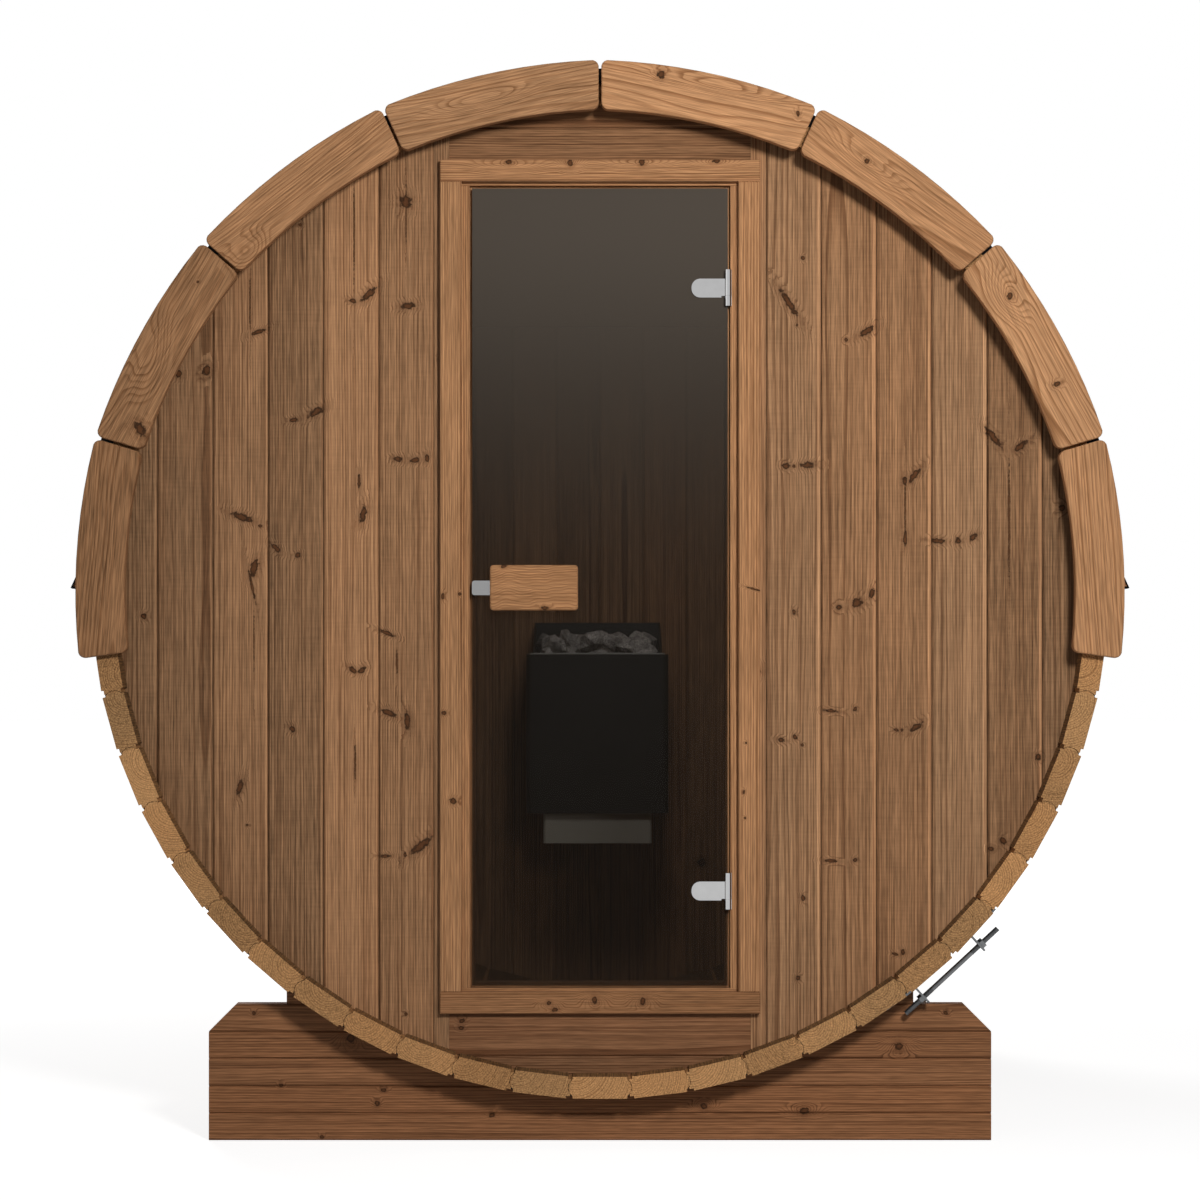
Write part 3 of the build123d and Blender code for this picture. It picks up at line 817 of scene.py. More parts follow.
def add_piece(name: str, shape: bmesh.types.BMesh, material: bpy.types.Material,
              body: str = "cabin", replaced: Sequence[str] = ()) -> None:
    """Turn a modelled shape into a piece of the object.

    Args:
        name: Name of the piece.
        shape: The modelled mesh, which is freed.
        material: Its finish.
        body: Body that it rides on.
        replaced: Nodes that it stands for.
    """
    mesh = bpy.data.meshes.new(name)
    shape.to_mesh(mesh)
    triangles = sum(len(polygon.vertices) - 2 for polygon in mesh.polygons)
    shape.free()
    mesh.materials.append(material)
    piece = bpy.data.objects.new(name, mesh)
    bpy.context.scene.collection.objects.link(piece)
    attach(piece, body)
    if replaced:
        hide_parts(*replaced)
    LOG.info("built %s with %d triangles", name, triangles)


FLAT_ANGLE = math.radians(1.0)
SHARP_ANGLE = math.radians(50.0)
SMOOTH_ANGLE = math.radians(30.0)


def eased_copy(node: str, ease: float, segments: int) -> bmesh.types.BMesh:
    """Copy a node's mesh with its sharp edges rounded over.

    Args:
        node: Name of the node.
        ease: Width of the rounding.
        segments: Faces across the rounding.

    Returns:
        The shape.
    """
    shape = bmesh.new()
    shape.from_mesh(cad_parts[node].data)
    bmesh.ops.remove_doubles(shape, verts=shape.verts[:], dist=1e-5)
    bmesh.ops.dissolve_limit(shape, angle_limit=FLAT_ANGLE, verts=shape.verts[:], edges=shape.edges[:])
    sharp = [edge for edge in shape.edges if edge.calc_face_angle(0.0) > SHARP_ANGLE]
    bmesh.ops.bevel(shape, geom=sharp, offset=ease, offset_type="OFFSET", segments=segments,
                    profile=0.5, affect="EDGES", material=-1)
    for face in shape.faces:
        face.smooth = face.calc_area() < ease * ease * 40.0
    return shape


@dataclass
class StaveRing:
    """Staves of the barrel, with tan end grain."""

    nodes: tuple[str, ...] = (
        "bottom_stave", "top_stave", "lower_left_staves", "side_left_staves", "upper_left_staves",
        "lower_right_staves", "side_right_staves", "upper_right_staves",
    )

    def build(self) -> None:
        """Dress the staves."""
        # The inner faces get painted shade where the recess lies in shadow.
        wood = Wood("stave_timber", Lay.STAVES, paint(178, 137, 93), paint(106, 69, 41), heart_side=0.10,
                    heart_depth=0.015, tone_spread=0.20, ends_show=True, inner_painted_shade=0.40,
                    knot_reach=0.011, knot_cell=0.30)
        dress(wood, *self.nodes)


LEFT_KNOTS = KnotSheet(-0.825, (
    (406, 202, 6, 7, 0), (408, 306, 7, 3.5, 8), (369, 294, 10, 3.5, 45), (353, 301, 4, 2.2, -15),
    (258, 332, 8, 2.2, 20), (316, 412, 9, 3.5, 30), (294, 420, 5, 2.2, 5), (178, 374, 4, 4, 0),
    (398, 459, 4.5, 2.8, -8), (415, 460, 5, 2.8, 10), (427, 458, 2.2, 4, 0), (363, 514, 3.5, 9, -12),
    (242, 517, 11, 3.5, -20), (260, 526, 1.8, 1.8, 0), (254, 568, 4, 9, -20), (276, 548, 6.5, 2.6, -38),
    (298, 555, 3, 2.4, 30), (353, 670, 5, 2.6, -40), (362, 670, 4.5, 2.6, 40), (389, 713, 8, 3, -25),
    (407, 721, 3.2, 9, 0), (292, 729, 3.6, 3, -45), (240, 787, 2.8, 9, -18), (247, 825, 1.5, 1.5, 0),
    (385, 856, 6, 1.8, 0), (405, 855, 1.6, 2.6, 0), (421, 846, 13, 4.2, 40), (406, 1014, 1.8, 1.8, 0),
    (144, 616, 3, 3, 0), (359, 481, 1.6, 8, 0), (406, 215, 0.7, 32, 0), (354, 231, 0.8, 51, 0),
    (250, 304, 0.8, 26, 0), (252, 586, 1.4, 17, 12), (254, 638, 0.7, 30, 0), (397, 663, 0.9, 12, 0),
    (355, 762, 0.9, 20, 0), (300, 225, 1.8, 1.8, 0), (207, 370, 4, 6, -20), (387, 633, 8, 2, -22),
))

RIGHT_KNOTS = KnotSheet(-0.825, (
    (803, 258, 2, 2, 0), (789, 303, 17, 3.2, -57), (797, 325, 1.5, 1.5, 0), (867, 331, 9, 3.2, 30),
    (846, 340, 2, 2, 0), (993, 437, 12, 3.6, -50), (1021, 446, 8, 3, 35), (786, 466, 4, 2.8, -10),
    (794, 466, 1.6, 1.8, 0), (808, 465, 8, 3, 3), (905, 481, 2.5, 4.5, 0), (915, 475, 9, 3, 50),
    (905, 539, 2.2, 7, 0), (958, 541, 3, 3.6, 0), (973, 537, 5, 3, 45), (938, 541, 7, 2.6, -8),
    (839, 607, 2.6, 3, 0), (857, 603, 6, 4.2, 30), (872, 593, 2.6, 5, -15), (794, 612, 1.8, 3, 0),
    (855, 709, 2, 2.4, 0), (896, 730, 3, 1.6, -10), (902, 730, 1.6, 1.6, 0), (916, 727, 7.5, 3, 35),
    (781, 740, 4, 2.2, -10), (795, 737, 2.4, 2.6, 0), (802, 745, 1.6, 1.6, 0), (1062, 508, 4, 3.6, 0),
    (855, 860, 2.2, 2.2, 0), (803, 898, 2.4, 3, 0), (798, 978, 2.4, 2.4, 0), (1038, 757, 3, 3.4, 0),
    (1003, 841, 3, 3.6, 30), (991, 849, 3, 2.4, 0), (895, 954, 3, 1.5, -20), (903, 952, 2, 3, 0),
    (1009, 520, 0.9, 64, 0), (905, 509, 0.8, 25, 0), (831, 711, 8, 1.8, -5), (831, 861, 7, 1.8, -5),
))


SILL_KNOTS = KnotSheet(-0.825, ((462, 1021, 3, 2.4, 0), (461, 1028, 2.6, 2, 0), (769, 1036, 2.5, 2, 0)))


@dataclass(frozen=True)
class WallHalf:
    """What one half of the front wall has of its own: its knots, the painted highlight strips on its board
    edges and its board tones.
    """

    side: str
    knots: KnotSheet
    strip: float
    highlight_lift: float
    tones: tuple[tuple[int, float], ...]


# Painted highlight strips: wider and lighter on the right half, as if lit from the right.
WALL_HALVES = (
    WallHalf("left", LEFT_KNOTS, -0.006, 0.42,
             ((0, 0.99), (1, 1.22), (2, 0.80), (3, 1.02), (4, 0.83), (5, 0.80))),
    WallHalf("right", RIGHT_KNOTS, 0.009, 0.75,
             ((40, 1.03), (41, 0.96), (42, 0.94), (43, 1.06), (44, 0.74), (45, 0.76))),
)


@dataclass
class EndWalls:
    """Boarded end walls."""

    post_side: float = 0.3205
    board_pitch: float = 0.107
    header_seam: float = 1.9632
    sill_seam: float = 0.1678
    level_pitch: float = 0.2
    pale: Colour = paint(162, 125, 92)
    deep: Colour = paint(88, 56, 35)
    header_pale: Colour = paint(146, 108, 77)
    # Painted shade: the sill boards are darker, for the light that falls off towards the bottom.
    sill_pale_painted_shade: Colour = paint(132, 96, 69)
    level_deep: Colour = paint(84, 53, 33)

    def build(self) -> None:
        """Dress both walls."""
        boards = {"pale": self.pale, "deep": self.deep, "pitch": self.board_pitch, "mirrored": True}
        for half in WALL_HALVES:
            wood = Wood(f"wall_timber_{half.side}", Lay.UPRIGHT, first_edge=self.post_side, knots=half.knots,
                        knot_cell=None, tones=half.tones, strip=half.strip, highlight_lift=half.highlight_lift,
                        ring_share=0.74, **boards)
            dress(wood, f"front_wall_{half.side}")
        dress(Wood("wall_timber_back", Lay.UPRIGHT, **boards), "back_wall_left", "back_wall_right")
        level = {"deep": self.level_deep, "pitch": self.level_pitch, "knot_cell": None, "wander": 0.012}
        header = Wood("wall_timber_header", Lay.LEVEL, self.header_pale, first_edge=self.header_seam, **level)
        dress(header, "header_boards")
        sill = Wood("wall_timber_sill", Lay.LEVEL, self.sill_pale_painted_shade, first_edge=self.sill_seam,
                    knots=SILL_KNOTS, **level)
        dress(sill, "sill_boards")
        dress(Wood("wall_timber_post", Lay.UPRIGHT, self.pale, self.deep), "door_posts")


LEVEL_CASING_KNOTS = KnotSheet(-0.845, (
    (509, 162, 3.4, 2.4, 0), (570, 163, 3, 3.6, 0), (642, 162, 3, 3.6, 0), (716, 161, 4, 2.2, 10),
    (549, 1003, 2.4, 2, 0), (595, 1000, 2.6, 3.6, 10), (643, 1001, 2.6, 3.6, -10), (555, 1010, 3.4, 2, 0),
))

LEVEL_CASING_SWIRLS = KnotSheet(-0.845, (
    (509, 166, 32, 8, 0), (571, 163, 12, 9, 0), (640, 164, 30, 7, 0), (716, 163, 20, 6, 0),
    (549, 1004, 12, 5, 0), (595, 1000, 14, 8, 0), (643, 1001, 14, 8, 0),
))

CASING_KNOTS = KnotSheet(-0.845, (
    (453, 801, 4, 3, 0), (460, 594, 2, 1.5, 0), (443, 596, 2, 3, 0), (444, 713, 3, 2, 0),
    (746, 743, 1.2, 1.2, 0), (744, 792, 1.5, 2, 0), (745, 818, 1.2, 1.2, 0), (754, 589, 8, 1.0, -15),
))


@dataclass
class DoorFrame:
    """Jambs and casing round the doorway."""

    pale: Colour = paint(180, 135, 96)
    deep: Colour = paint(112, 71, 42)
    # Painted shade: the sill casing is darker, for the light that falls off towards the bottom.
    sill_pale_painted_shade: Colour = paint(159, 116, 81)

    def build(self) -> None:
        """Dress the frame."""
        trim = {"pale": self.pale, "deep": self.deep, "ring": 0.0042, "tone_spread": 0.05,
                "heart_depth": 0.04, "streak_share": 0.25, "hue_share": 0.3}
        dress(Wood("casing_timber_upright", Lay.UPRIGHT, knots=CASING_KNOTS, knot_cell=None, **trim),
              "left_casing", "right_casing")
        dress(Wood("jamb_timber_upright", Lay.UPRIGHT, knot_cell=0.2, knot_reach=0.005, **trim),
              "latch_jamb", "hinge_jamb")
        level = trim | {"first_edge": BARREL.axis_height, "knot_cell": None}
        dress(Wood("jamb_timber_level", Lay.LEVEL, **level), "head_jamb", "sill_jamb")
        level |= {"knots": LEVEL_CASING_KNOTS, "swirls": LEVEL_CASING_SWIRLS}
        dress(Wood("casing_timber_head", Lay.LEVEL, **level), "head_casing")
        dress(Wood("casing_timber_sill", Lay.LEVEL, **(level | {"pale": self.sill_pale_painted_shade})), "sill_casing")


HANDLE_KNOTS = KnotSheet(-0.859, ((545, 608, 4, 2, 0), (504, 566, 3, 2, 0)))


@dataclass
class GlassDoor:
    """Glass door with its wooden handles, catch and hinges."""

    def build(self) -> None:
        """Dress the door."""
        dress(TintedGlass("tinted_glass"), "door_glass")
        handle = Wood("handle_timber", Lay.LEVEL, paint(176, 131, 92), paint(116, 76, 46), ring=0.0036,
                      first_edge=BARREL.axis_height - 0.5, tone_spread=0.0, heart_depth=0.04, wander=0.024,
                      roam=9.0, streak_share=0.2, hue_share=0.3, knot_cell=None, knots=HANDLE_KNOTS)
        dress(handle, "outer_handle", "inner_handle")
        satin = Metal("satin_aluminium", (0.46, 0.46, 0.46), roughness=0.08, depth=0.1)
        dress(satin, "hinge_leaves", "hinge_pins")
        dress(Metal("catch_aluminium", (0.29, 0.29, 0.29), roughness=0.20), "door_catch")


FASCIA_SWIRLS = KnotSheet(-0.906, (
    (246, 251, 22, 15, 38), (480, 101, 46, 9, 14), (867, 161, 40, 12, -38), (1008, 296, 26, 16, -58),
    (720, 86, 60, 8, -12), (150, 360, 16, 40, -12),
))

FASCIA_KNOTS = KnotSheet(-0.906, (
    (660.6, 74.5, 4, 4.5, 0), (798, 113.5, 2, 3, 0), (867, 161, 2.5, 2.5, 0), (1010, 296, 3, 4, 0),
    (1057, 384, 4, 2.5, 20), (140, 429, 5, 8, 30), (198, 282, 1.2, 1.2, 0),
))


@dataclass
class FasciaBoards:
    """Curved boards over the stave ends, with rounded-over edges."""

    ease: float = 0.003
    segments: int = 3

    def build(self) -> None:
        """Model and dress the boards of both ends."""
        look = {"pale": paint(184, 139, 100), "deep": paint(116, 74, 43), "ring": 0.0055,
                "ring_share": 0.75, "wander": 0.020, "roam": 2.2, "heart_depth": 0.030, "tone_spread": 0.08,
                "heart_side": 0.12, "middle_depth": 0.893, "streak_share": 0.15, "vein_share": 0.14,
                "hue_share": 0.3}
        tones = ((-4, 0.65), (-3, 0.71), (-2, 0.90), (-1, 0.88), (0, 1.13), (1, 0.98), (2, 1.09), (3, 0.98))
        front = Wood("fascia_timber_front", Lay.FASCIA, knots=FASCIA_KNOTS, knot_cell=None, tones=tones,
                     swirls=FASCIA_SWIRLS, **look)
        rear = Wood("fascia_timber_rear", Lay.FASCIA, knot_cell=0.3, knot_reach=0.006, **look)
        for end, wood in (("front", front), ("rear", rear)):
            node = f"{end}_fascia"
            shape = eased_copy(node, self.ease, self.segments)
            add_piece(f"{end}_fascia_boards", shape, wood.material(), replaced=(node,))


@dataclass
class HoopClamps:
    """Hoops, their clamps and the threads of the clamp rods."""

    angle: float = math.radians(137.2)
    reach: float = 1.001
    place_y: float = 0.820
    rod_radius: float = 0.005
    rod_end: float = 0.121
    thread_length: float = 0.070
    pitch: float = 0.0015
    ridge: float = 0.0006
    turn_steps: int = 12

    def thread(self, shape: bmesh.types.BMesh, y: float, side: float) -> None:
        """Wind a thread round one end of a rod.

        Args:
            shape: Mesh to add to.
            y: Place of the rod along the barrel.
            side: Which end of the rod, 1 or -1.
        """
        along = Vector((math.cos(self.angle), 0.0, -math.sin(self.angle))) * side
        outward = Vector((math.sin(self.angle), 0.0, math.cos(self.angle)))
        middle = Vector((0.0, y, BARREL.axis_height)) + outward * self.reach
        start = middle + along * (self.rod_end - self.thread_length)
        turns = round(self.thread_length / self.pitch) - 1
        half = along * self.pitch / 2
        foot = start + outward * (self.rod_radius - self.ridge)
        corners = [foot, foot + outward * 2 * self.ridge + half, foot + half * 2]
        verts = [shape.verts.new(corner) for corner in corners]
        edges = [shape.edges.new(pair) for pair in zip(verts, verts[1:])]
        steps = turns * self.turn_steps
        bmesh.ops.spin(shape, geom=edges, cent=start, axis=along, dvec=along * self.pitch / self.turn_steps,
                       angle=math.tau * turns, steps=steps, use_merge=False, use_duplicate=False)

    def build(self) -> None:
        """Dress hoops and clamps and wind the threads."""
        zinc = Metal("zinc_plate", (0.17, 0.175, 0.18), roughness=0.42, stain=0.6)
        dress(zinc, "clamp_plates", "clamp_rods")
        dress(Coating("strap_paint", (0.012, 0.012, 0.012), roughness=0.5, sheen=0.15), "hoops")
        shape = bmesh.new()
        for y in (-self.place_y, self.place_y):
            for side in (1.0, -1.0):
                self.thread(shape, y, side)
        bmesh.ops.recalc_face_normals(shape, faces=shape.faces[:])
        dark = Metal("thread_zinc", (0.11, 0.115, 0.12), roughness=0.45, stain=0.6)
        add_piece("clamp_threads", shape, dark.material())


@dataclass(frozen=True)
class Tab:
    """One shingle tab: its ends along the barrel and its place round it, in metres and radians."""

    front: float
    back: float
    low: float
    cover: float
    reach: float
    lean: float
    tone: float

    def bend(self, shape: bmesh.types.BMesh, thickness: float, steps: int) -> None:
        """Bend the tab round the barrel.

        Args:
            shape: Mesh to add to, with a face layer for the tone of the tabs.
            thickness: How thick the tab is.
            steps: Flat lengths round its curve.
        """
        known = len(shape.verts)
        outward = Vector((math.sin(self.low), 0.0, math.cos(self.low)))
        axis = Vector((0.0, 0.0, BARREL.axis_height))
        foot = axis + outward * self.reach
        rim = ((self.front, 0.0), (self.back, 0.0), (self.back, thickness), (self.front, thickness))
        corners = [foot + Vector((0.0, y, 0.0)) + outward * lift for y, lift in rim]
        face = shape.faces.new([shape.verts.new(corner) for corner in corners])
        bmesh.ops.spin(shape, geom=[face, *face.edges, *face.verts], cent=axis, axis=(0.0, 1.0, 0.0),
                       angle=-self.cover, steps=steps, use_merge=False, use_duplicate=False)
        verts = list(shape.verts)[known:]
        bmesh.ops.rotate(shape, verts=verts, cent=foot, matrix=Matrix.Rotation(self.lean, 3, "Y"))
        layer = shape.faces.layers.float[TAB_TONE]
        for made in {near for vert in verts for near in vert.link_faces}:
            made[layer] = self.tone


@dataclass
class RoofCovering:
    """Shingle tabs over the upper half of the barrel, and a row of them along its ridge."""

    inner_reach: float = 0.9765
    course_count: int = 10
    eaves_angle: float = math.radians(85.42)
    course_lift: float = 0.0032
    tab_thickness: float = 0.0024
    tab_length: float = 0.333
    slot: float = 0.007
    shortest_tab: float = 0.028
    half_length: float = 0.8785
    arc_steps: int = 4
    ridge_half_angle: float = math.radians(5.65)
    ridge_reach: float = 0.9853
    ridge_tab: float = 0.22
    ridge_slot: float = 0.0035
    seed: int = 11

    def courses(self, chance: random.Random) -> Iterator[Tab]:
        """Lay out the tabs of both slopes, half a tab to the side in every other course.

        Args:
            chance: Source of the tones.

        Yields:
            The tabs.
        """
        step = self.eaves_angle / self.course_count
        lean = math.atan(self.course_lift / (step * self.inner_reach))
        reach = self.inner_reach + 2 * self.course_lift
        for side in (-1.0, 1.0):
            for course in range(self.course_count):
                low = self.eaves_angle - step * course
                cover = min(step, low - self.ridge_half_angle)
                front = -self.half_length
                back = front + self.tab_length * (0.5 if course % 2 else 1.0)
                while front < self.half_length - self.shortest_tab:
                    back = min(back, self.half_length)
                    yield Tab(front + self.slot / 2, back - self.slot / 2, side * low, side * cover, reach,
                              -side * lean, chance.random())
                    front, back = back, back + self.tab_length

    def ridge(self, chance: random.Random) -> Iterator[Tab]:
        """Lay out the row of tabs along the ridge.

        Args:
            chance: Source of the tones.

        Yields:
            The tabs.
        """
        count = round(2 * self.half_length / self.ridge_tab)
        length = 2 * self.half_length / count
        for place in range(count):
            front = -self.half_length + place * length
            back = front + length
            yield Tab(front + self.ridge_slot / 2, back - self.ridge_slot / 2, self.ridge_half_angle,
                      2 * self.ridge_half_angle, self.ridge_reach, 0.0, chance.random())

    def build(self) -> None:
        """Lay the tabs and dress the sheet under them."""
        felt = Coating("roofing_felt", (0.005, 0.005, 0.005), roughness=0.85, dust_share=0.0, sheen=0.1)
        dress(felt, "roof_left", "roof_right", "ridge_cap")
        dress(Coating("flashing_paint", (0.008, 0.008, 0.008), roughness=0.5, sheen=0.12), "edge_flashings")
        dress(Wood("batten_timber", Lay.LENGTHWISE, paint(140, 100, 70), paint(90, 60, 40)), "drip_battens")
        shape = bmesh.new()
        shape.faces.layers.float.new(TAB_TONE)
        chance = random.Random(self.seed)
        for tab in (*self.courses(chance), *self.ridge(chance)):
            tab.bend(shape, self.tab_thickness, self.arc_steps)
        bmesh.ops.recalc_face_normals(shape, faces=shape.faces[:])
        for face in shape.faces:
            face.smooth = True
        for edge in shape.edges:
            edge.smooth = edge.calc_face_angle(math.pi) < SMOOTH_ANGLE
        add_piece("shingle_tabs", shape, Granules("shingle_granules").material())


CRADLE_KNOTS = KnotSheet(-0.790, (
    (254, 1013, 2, 2, 0), (351, 1038, 4, 5, 0), (281, 1085, 2, 2, 0), (384, 1090, 3, 2, 0),
    (377, 1103, 2.5, 3, 0), (322, 1137, 2, 2, 0), (492, 1115, 3, 2, 20), (704, 1106, 4, 3, 0),
    (804, 1111, 5, 3.4, 0), (946, 1013, 2.4, 2, 0), (899, 1046, 4, 4.5, 0),
))

CRADLE_SWIRLS = KnotSheet(-0.790, (
    (351, 1038, 15, 10, 0), (899, 1046, 16, 11, 0), (804, 1111, 18, 7, 0), (704, 1106, 12, 6, 0),
))


@dataclass
class Cradles:
    """Stacked saddles under both ends."""

    course_height: float = 0.053

    def build(self) -> None:
        """Dress the saddles."""
        look = {"pale": paint(149, 106, 74), "deep": paint(79, 49, 30), "pitch": self.course_height,
                "middle_depth": 0.769, "wander": 0.014, "tone_spread": 0.08}
        front = Wood("cradle_timber_front", Lay.LEVEL, knots=CRADLE_KNOTS, swirls=CRADLE_SWIRLS,
                     knot_cell=None, **look)
        dress(front, "front_cradle")
        dress(Wood("cradle_timber_rear", Lay.LEVEL, knot_cell=0.19, knot_reach=0.008, **look), "rear_cradle")


@dataclass
class WallHeater:
    """Wall heater with a bed of loose stones."""

    half_width: float = 0.121
    front: float = 0.550
    back: float = 0.742
    middle: float = -0.006
    bed_height: float = 0.974
    stone_radius: float = 0.032
    rows: int = 4
    columns: int = 6
    layers: int = 2
    rim_half: float = 0.160
    rim_radius: float = 0.0025
    rim_front: float = 0.518
    rim_height: float = 0.949
    rim_sides: int = 12
    roughness: float = 0.55
    lump_scale: float = 38.0
    wide: Span = (0.7, 1.2)
    tall: Span = (0.55, 0.95)
    stray: float = 0.3
    stray_height: float = 0.006
    layer_share: float = 0.9
    seed: int = 5

    def rim(self) -> bmesh.types.BMesh:
        """Roll the rim along the top of the jacket's front.

        Returns:
            The shape of the rim.
        """
        shape = bmesh.new()
        made = bmesh.ops.create_cone(shape, cap_ends=True, segments=self.rim_sides, radius1=self.rim_radius,
                                     radius2=self.rim_radius, depth=2 * self.rim_half)["verts"]
        level = Matrix.Rotation(math.pi / 2, 3, "Y")
        bmesh.ops.rotate(shape, verts=made, cent=(0.0, 0.0, 0.0), matrix=level)
        bmesh.ops.translate(shape, verts=made, vec=(self.middle, self.rim_front, self.rim_height))
        caps = [edge for face in shape.faces if len(face.verts) > 4 for edge in face.edges]
        bmesh.ops.bevel(shape, geom=caps, offset=self.rim_radius / 3, offset_type="OFFSET", segments=2,
                        profile=0.5, affect="EDGES", material=-1)
        return shape

    def stone(self, shape: bmesh.types.BMesh, chance: random.Random) -> list[bmesh.types.BMVert]:
        """Make one broken stone at the origin.

        Args:
            shape: Mesh to add to.
            chance: Source of its form.

        Returns:
            The corners of the stone.
        """
        made = bmesh.ops.create_icosphere(shape, subdivisions=2, radius=self.stone_radius)["verts"]
        seed = Vector((chance.random(), chance.random(), chance.random())) * 40.0
        for vert in made:
            vert.co *= 1.0 + self.roughness * noise.noise(vert.co * self.lump_scale + seed)
        squash = [chance.uniform(*span) for span in (self.wide, self.wide, self.tall)]
        bmesh.ops.scale(shape, verts=made, vec=squash)
        angle = chance.uniform(0.0, math.tau)
        turn = Matrix.Rotation(angle, 3, Vector((chance.random(), chance.random(), 1.0)))
        bmesh.ops.rotate(shape, verts=made, cent=(0.0, 0.0, 0.0), matrix=turn)
        return made

    def stones(self) -> bmesh.types.BMesh:
        """Pile up the stones.

        Returns:
            The shape of the pile.
        """
        shape = bmesh.new()
        chance = random.Random(self.seed)
        for layer, row, column in product(range(self.layers), range(self.rows), range(self.columns)):
            made = self.stone(shape, chance)
            across = (column + 0.5 + chance.uniform(-self.stray, self.stray)) / self.columns
            inward = (row + 0.5 + chance.uniform(-self.stray, self.stray)) / self.rows
            lift = chance.uniform(-self.stray_height, self.stray_height) - self.stone_radius
            bmesh.ops.translate(shape, verts=made, vec=(
                self.middle - self.half_width + 2 * self.half_width * across,
                self.front + (self.back - self.front) * inward,
                self.bed_height + layer * self.stone_radius * self.layer_share + lift,
            ))
        return shape

    def build(self) -> None:
        """Dress the heater, roll its rim and pile up its stones."""
        enamel = Coating("heater_enamel", (0.014, 0.014, 0.0125), roughness=0.42)
        dress(enamel, "heater_jacket", "heater_bracket")
        control = Coating("control_enamel", (0.50, 0.47, 0.39), roughness=0.5, dust_share=0.0)
        dress(control, "heater_control_box")
        # The rolled rim is pale grey as a painted highlight along the jacket's top edge.
        rim = Coating("rim_painted_highlight", (0.30, 0.29, 0.26), roughness=0.4, dust_share=0.0)
        add_piece("heater_rim", self.rim(), rim.material())
        add_piece("stone_pile", self.stones(), Stone("heater_stone").material(),
                  replaced=("heater_stones",))


@dataclass(frozen=True)
class Lamp:
    """Soft round lamp: its disc's width, watts, target, fan of light, and whether metal mirrors it."""

    name: str
    place: Point
    size: float
    power: float
    target: Point
    spread: float = math.pi
    mirrored: bool = True

    def hang(self) -> None:
        """Hang the lamp and point it at its target."""
        light = bpy.data.lights.new(self.name, "AREA")
        light.spread = self.spread
        light.shape = "DISK"
        light.size = self.size
        light.energy = self.power
        lamp = bpy.data.objects.new(self.name, light)
        lamp.visible_glossy = self.mirrored
        lamp.location = self.place
        aim = Vector(self.target) - Vector(self.place)
        lamp.rotation_euler = aim.to_track_quat("-Z", "Y").to_euler()
        bpy.context.scene.collection.objects.link(lamp)


BARREL_MIDDLE = (0.0, 0.0, 1.1)

LAMPS = (
    Lamp("key_lamp", place=(1.1, -4.9, 2.35), size=0.70, power=97.5, target=(0.4, -0.85, 1.9),
         spread=math.radians(150.0), mirrored=False),
    Lamp("fill_lamp", place=(-5.5, -5.5, 3.2), size=4.0, power=22.0, target=BARREL_MIDDLE),
    Lamp("rear_lamp", place=(-2.5, 6.5, 3.8), size=3.0, power=230.0, target=BARREL_MIDDLE),
    Lamp("room_lamp", place=(0.1, -0.45, 1.75), size=0.4, power=7.0, target=(0.0, 0.8, 0.9)),
)


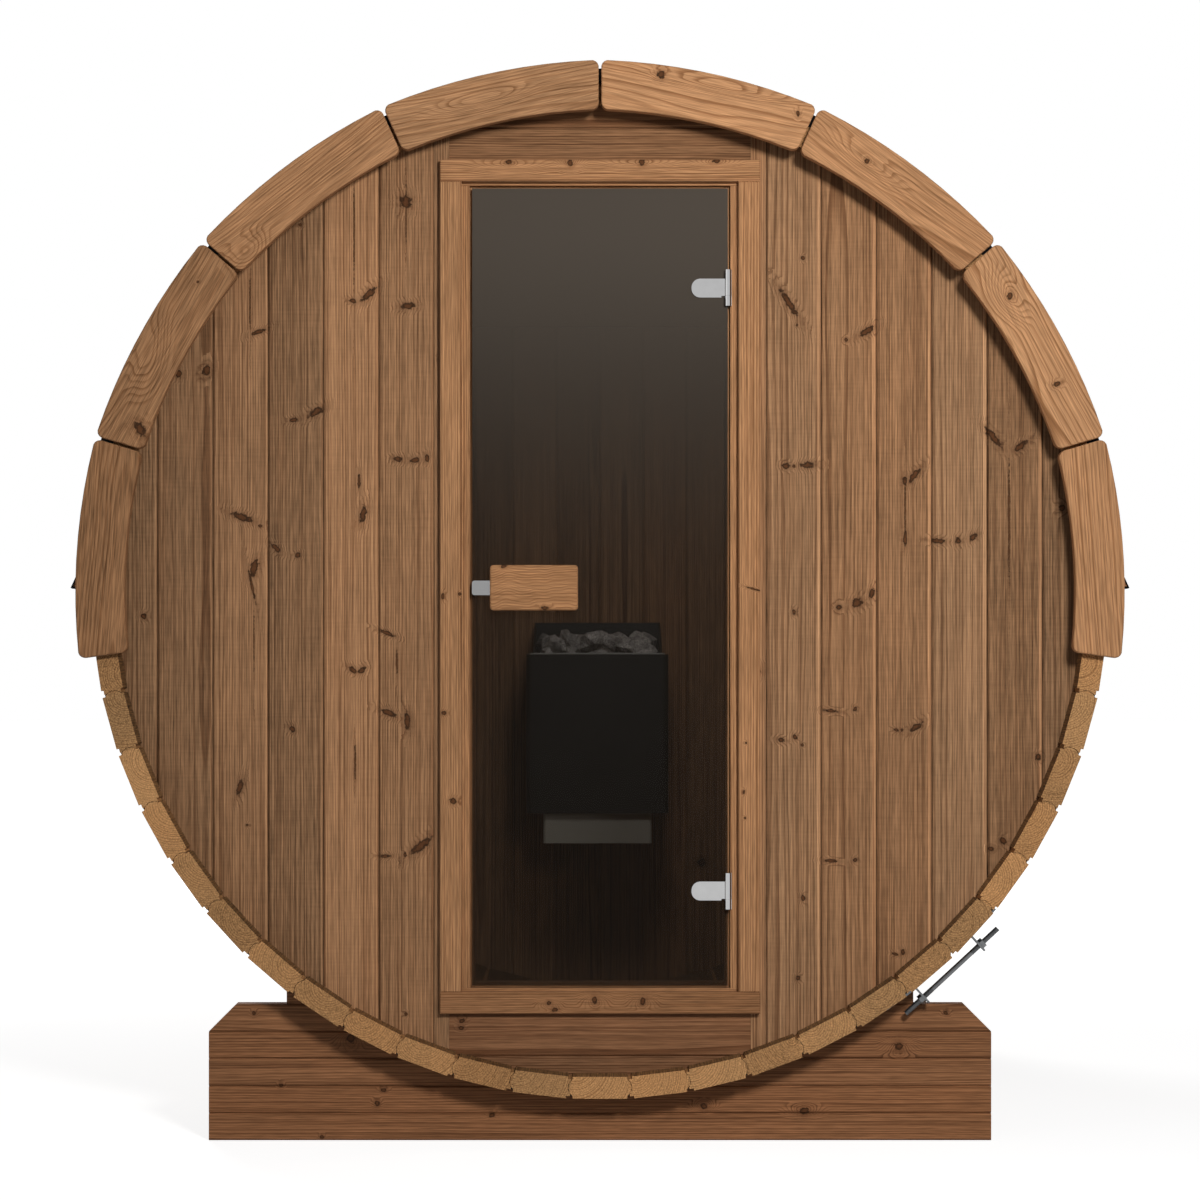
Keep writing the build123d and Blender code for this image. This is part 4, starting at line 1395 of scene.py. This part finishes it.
@dataclass
class Studio:
    """Pale floor, white surroundings, soft lamps and the photograph's camera."""

    floor_half: float = 40.0
    floor_colour: Colour = (0.50, 0.50, 0.50)
    floor_lift: float = 0.80
    floor_near: float = 1.6
    floor_far: float = 4.0
    ambient: float = 0.11

    @staticmethod
    def seen(g: Graph) -> Wire:
        """Tell the rays that show the surroundings themselves.

        Args:
            g: Node tree to add to.

        Returns:
            One for such rays, else zero.
        """
        rays = g.node("LightPath")
        names = ("Is Camera Ray", "Is Glossy Ray", "Is Transmission Ray")
        first, second, third = (Wire(g, rays.outputs[name]) for name in names)
        return g.math("MAXIMUM", g.math("MAXIMUM", first, second), third)

    def floor(self) -> None:
        """Lay the floor, which is white where no shadow falls."""
        shape = bmesh.new()
        bmesh.ops.create_grid(shape, x_segments=1, y_segments=1, size=self.floor_half)
        mesh = bpy.data.meshes.new("floor")
        shape.to_mesh(mesh)
        shape.free()
        g = Graph(bpy.data.materials.new("floor_paper"))
        x, y, _ = g.object_place()
        away = g.fade(g.math("SQRT", x * x + y * y), self.floor_near, self.floor_far)
        glow = self.seen(g) * (away * (1.0 - self.floor_lift) + self.floor_lift)
        white = g.shade((1.0, 1.0, 1.0), glow)
        mesh.materials.append(g.surface(Base_Color=self.floor_colour, Roughness=1.0, Emission_Color=white,
                                        Emission_Strength=1.0, Specular_IOR_Level=0.0))
        floor = bpy.data.objects.new("floor", mesh)
        bpy.context.scene.collection.objects.link(floor)

    def world(self) -> None:
        """Surround the object with white to look at and soft grey light."""
        g = Graph(bpy.data.worlds.new("studio"))
        bpy.context.scene.world = g.owner
        strength = self.seen(g) * (1.0 - self.ambient) + self.ambient
        shader = g.wire("Background", None, {"Color": (1.0, 1.0, 1.0, 1.0), "Strength": strength})
        g.node("OutputWorld", None, {"Surface": shader})

    def camera(self) -> None:
        """Set up the camera of the photograph."""
        data = bpy.data.cameras.new("camera")
        data.sensor_width = PHOTO.sensor
        data.lens = PHOTO.focal_pixels / PHOTO.size * PHOTO.sensor
        data.shift_y = (PHOTO.horizon_row - PHOTO.size / 2) / PHOTO.size
        camera = bpy.data.objects.new("camera", data)
        camera.location = (0.0, PHOTO.eye_y, PHOTO.eye_height)
        camera.rotation_euler = (math.pi / 2, 0.0, 0.0)
        bpy.context.scene.collection.objects.link(camera)
        bpy.context.scene.camera = camera

    def build(self) -> None:
        """Set up everything round the object."""
        self.camera()
        self.floor()
        self.world()
        for lamp in LAMPS:
            lamp.hang()
        bpy.context.scene.view_settings.view_transform = "Standard"


def main() -> None:
    """Build every sub-assembly and the studio."""
    logging.basicConfig(level=logging.INFO, format="%(name)s: %(message)s")
    assemblies = (StaveRing(), EndWalls(), DoorFrame(), GlassDoor(), FasciaBoards(), HoopClamps(),
                  RoofCovering(), Cradles(), WallHeater(), Studio())
    for assembly in assemblies:
        assembly.build()
        LOG.info("finished %s", type(assembly).__name__)


if __name__ == "__main__":
    main()
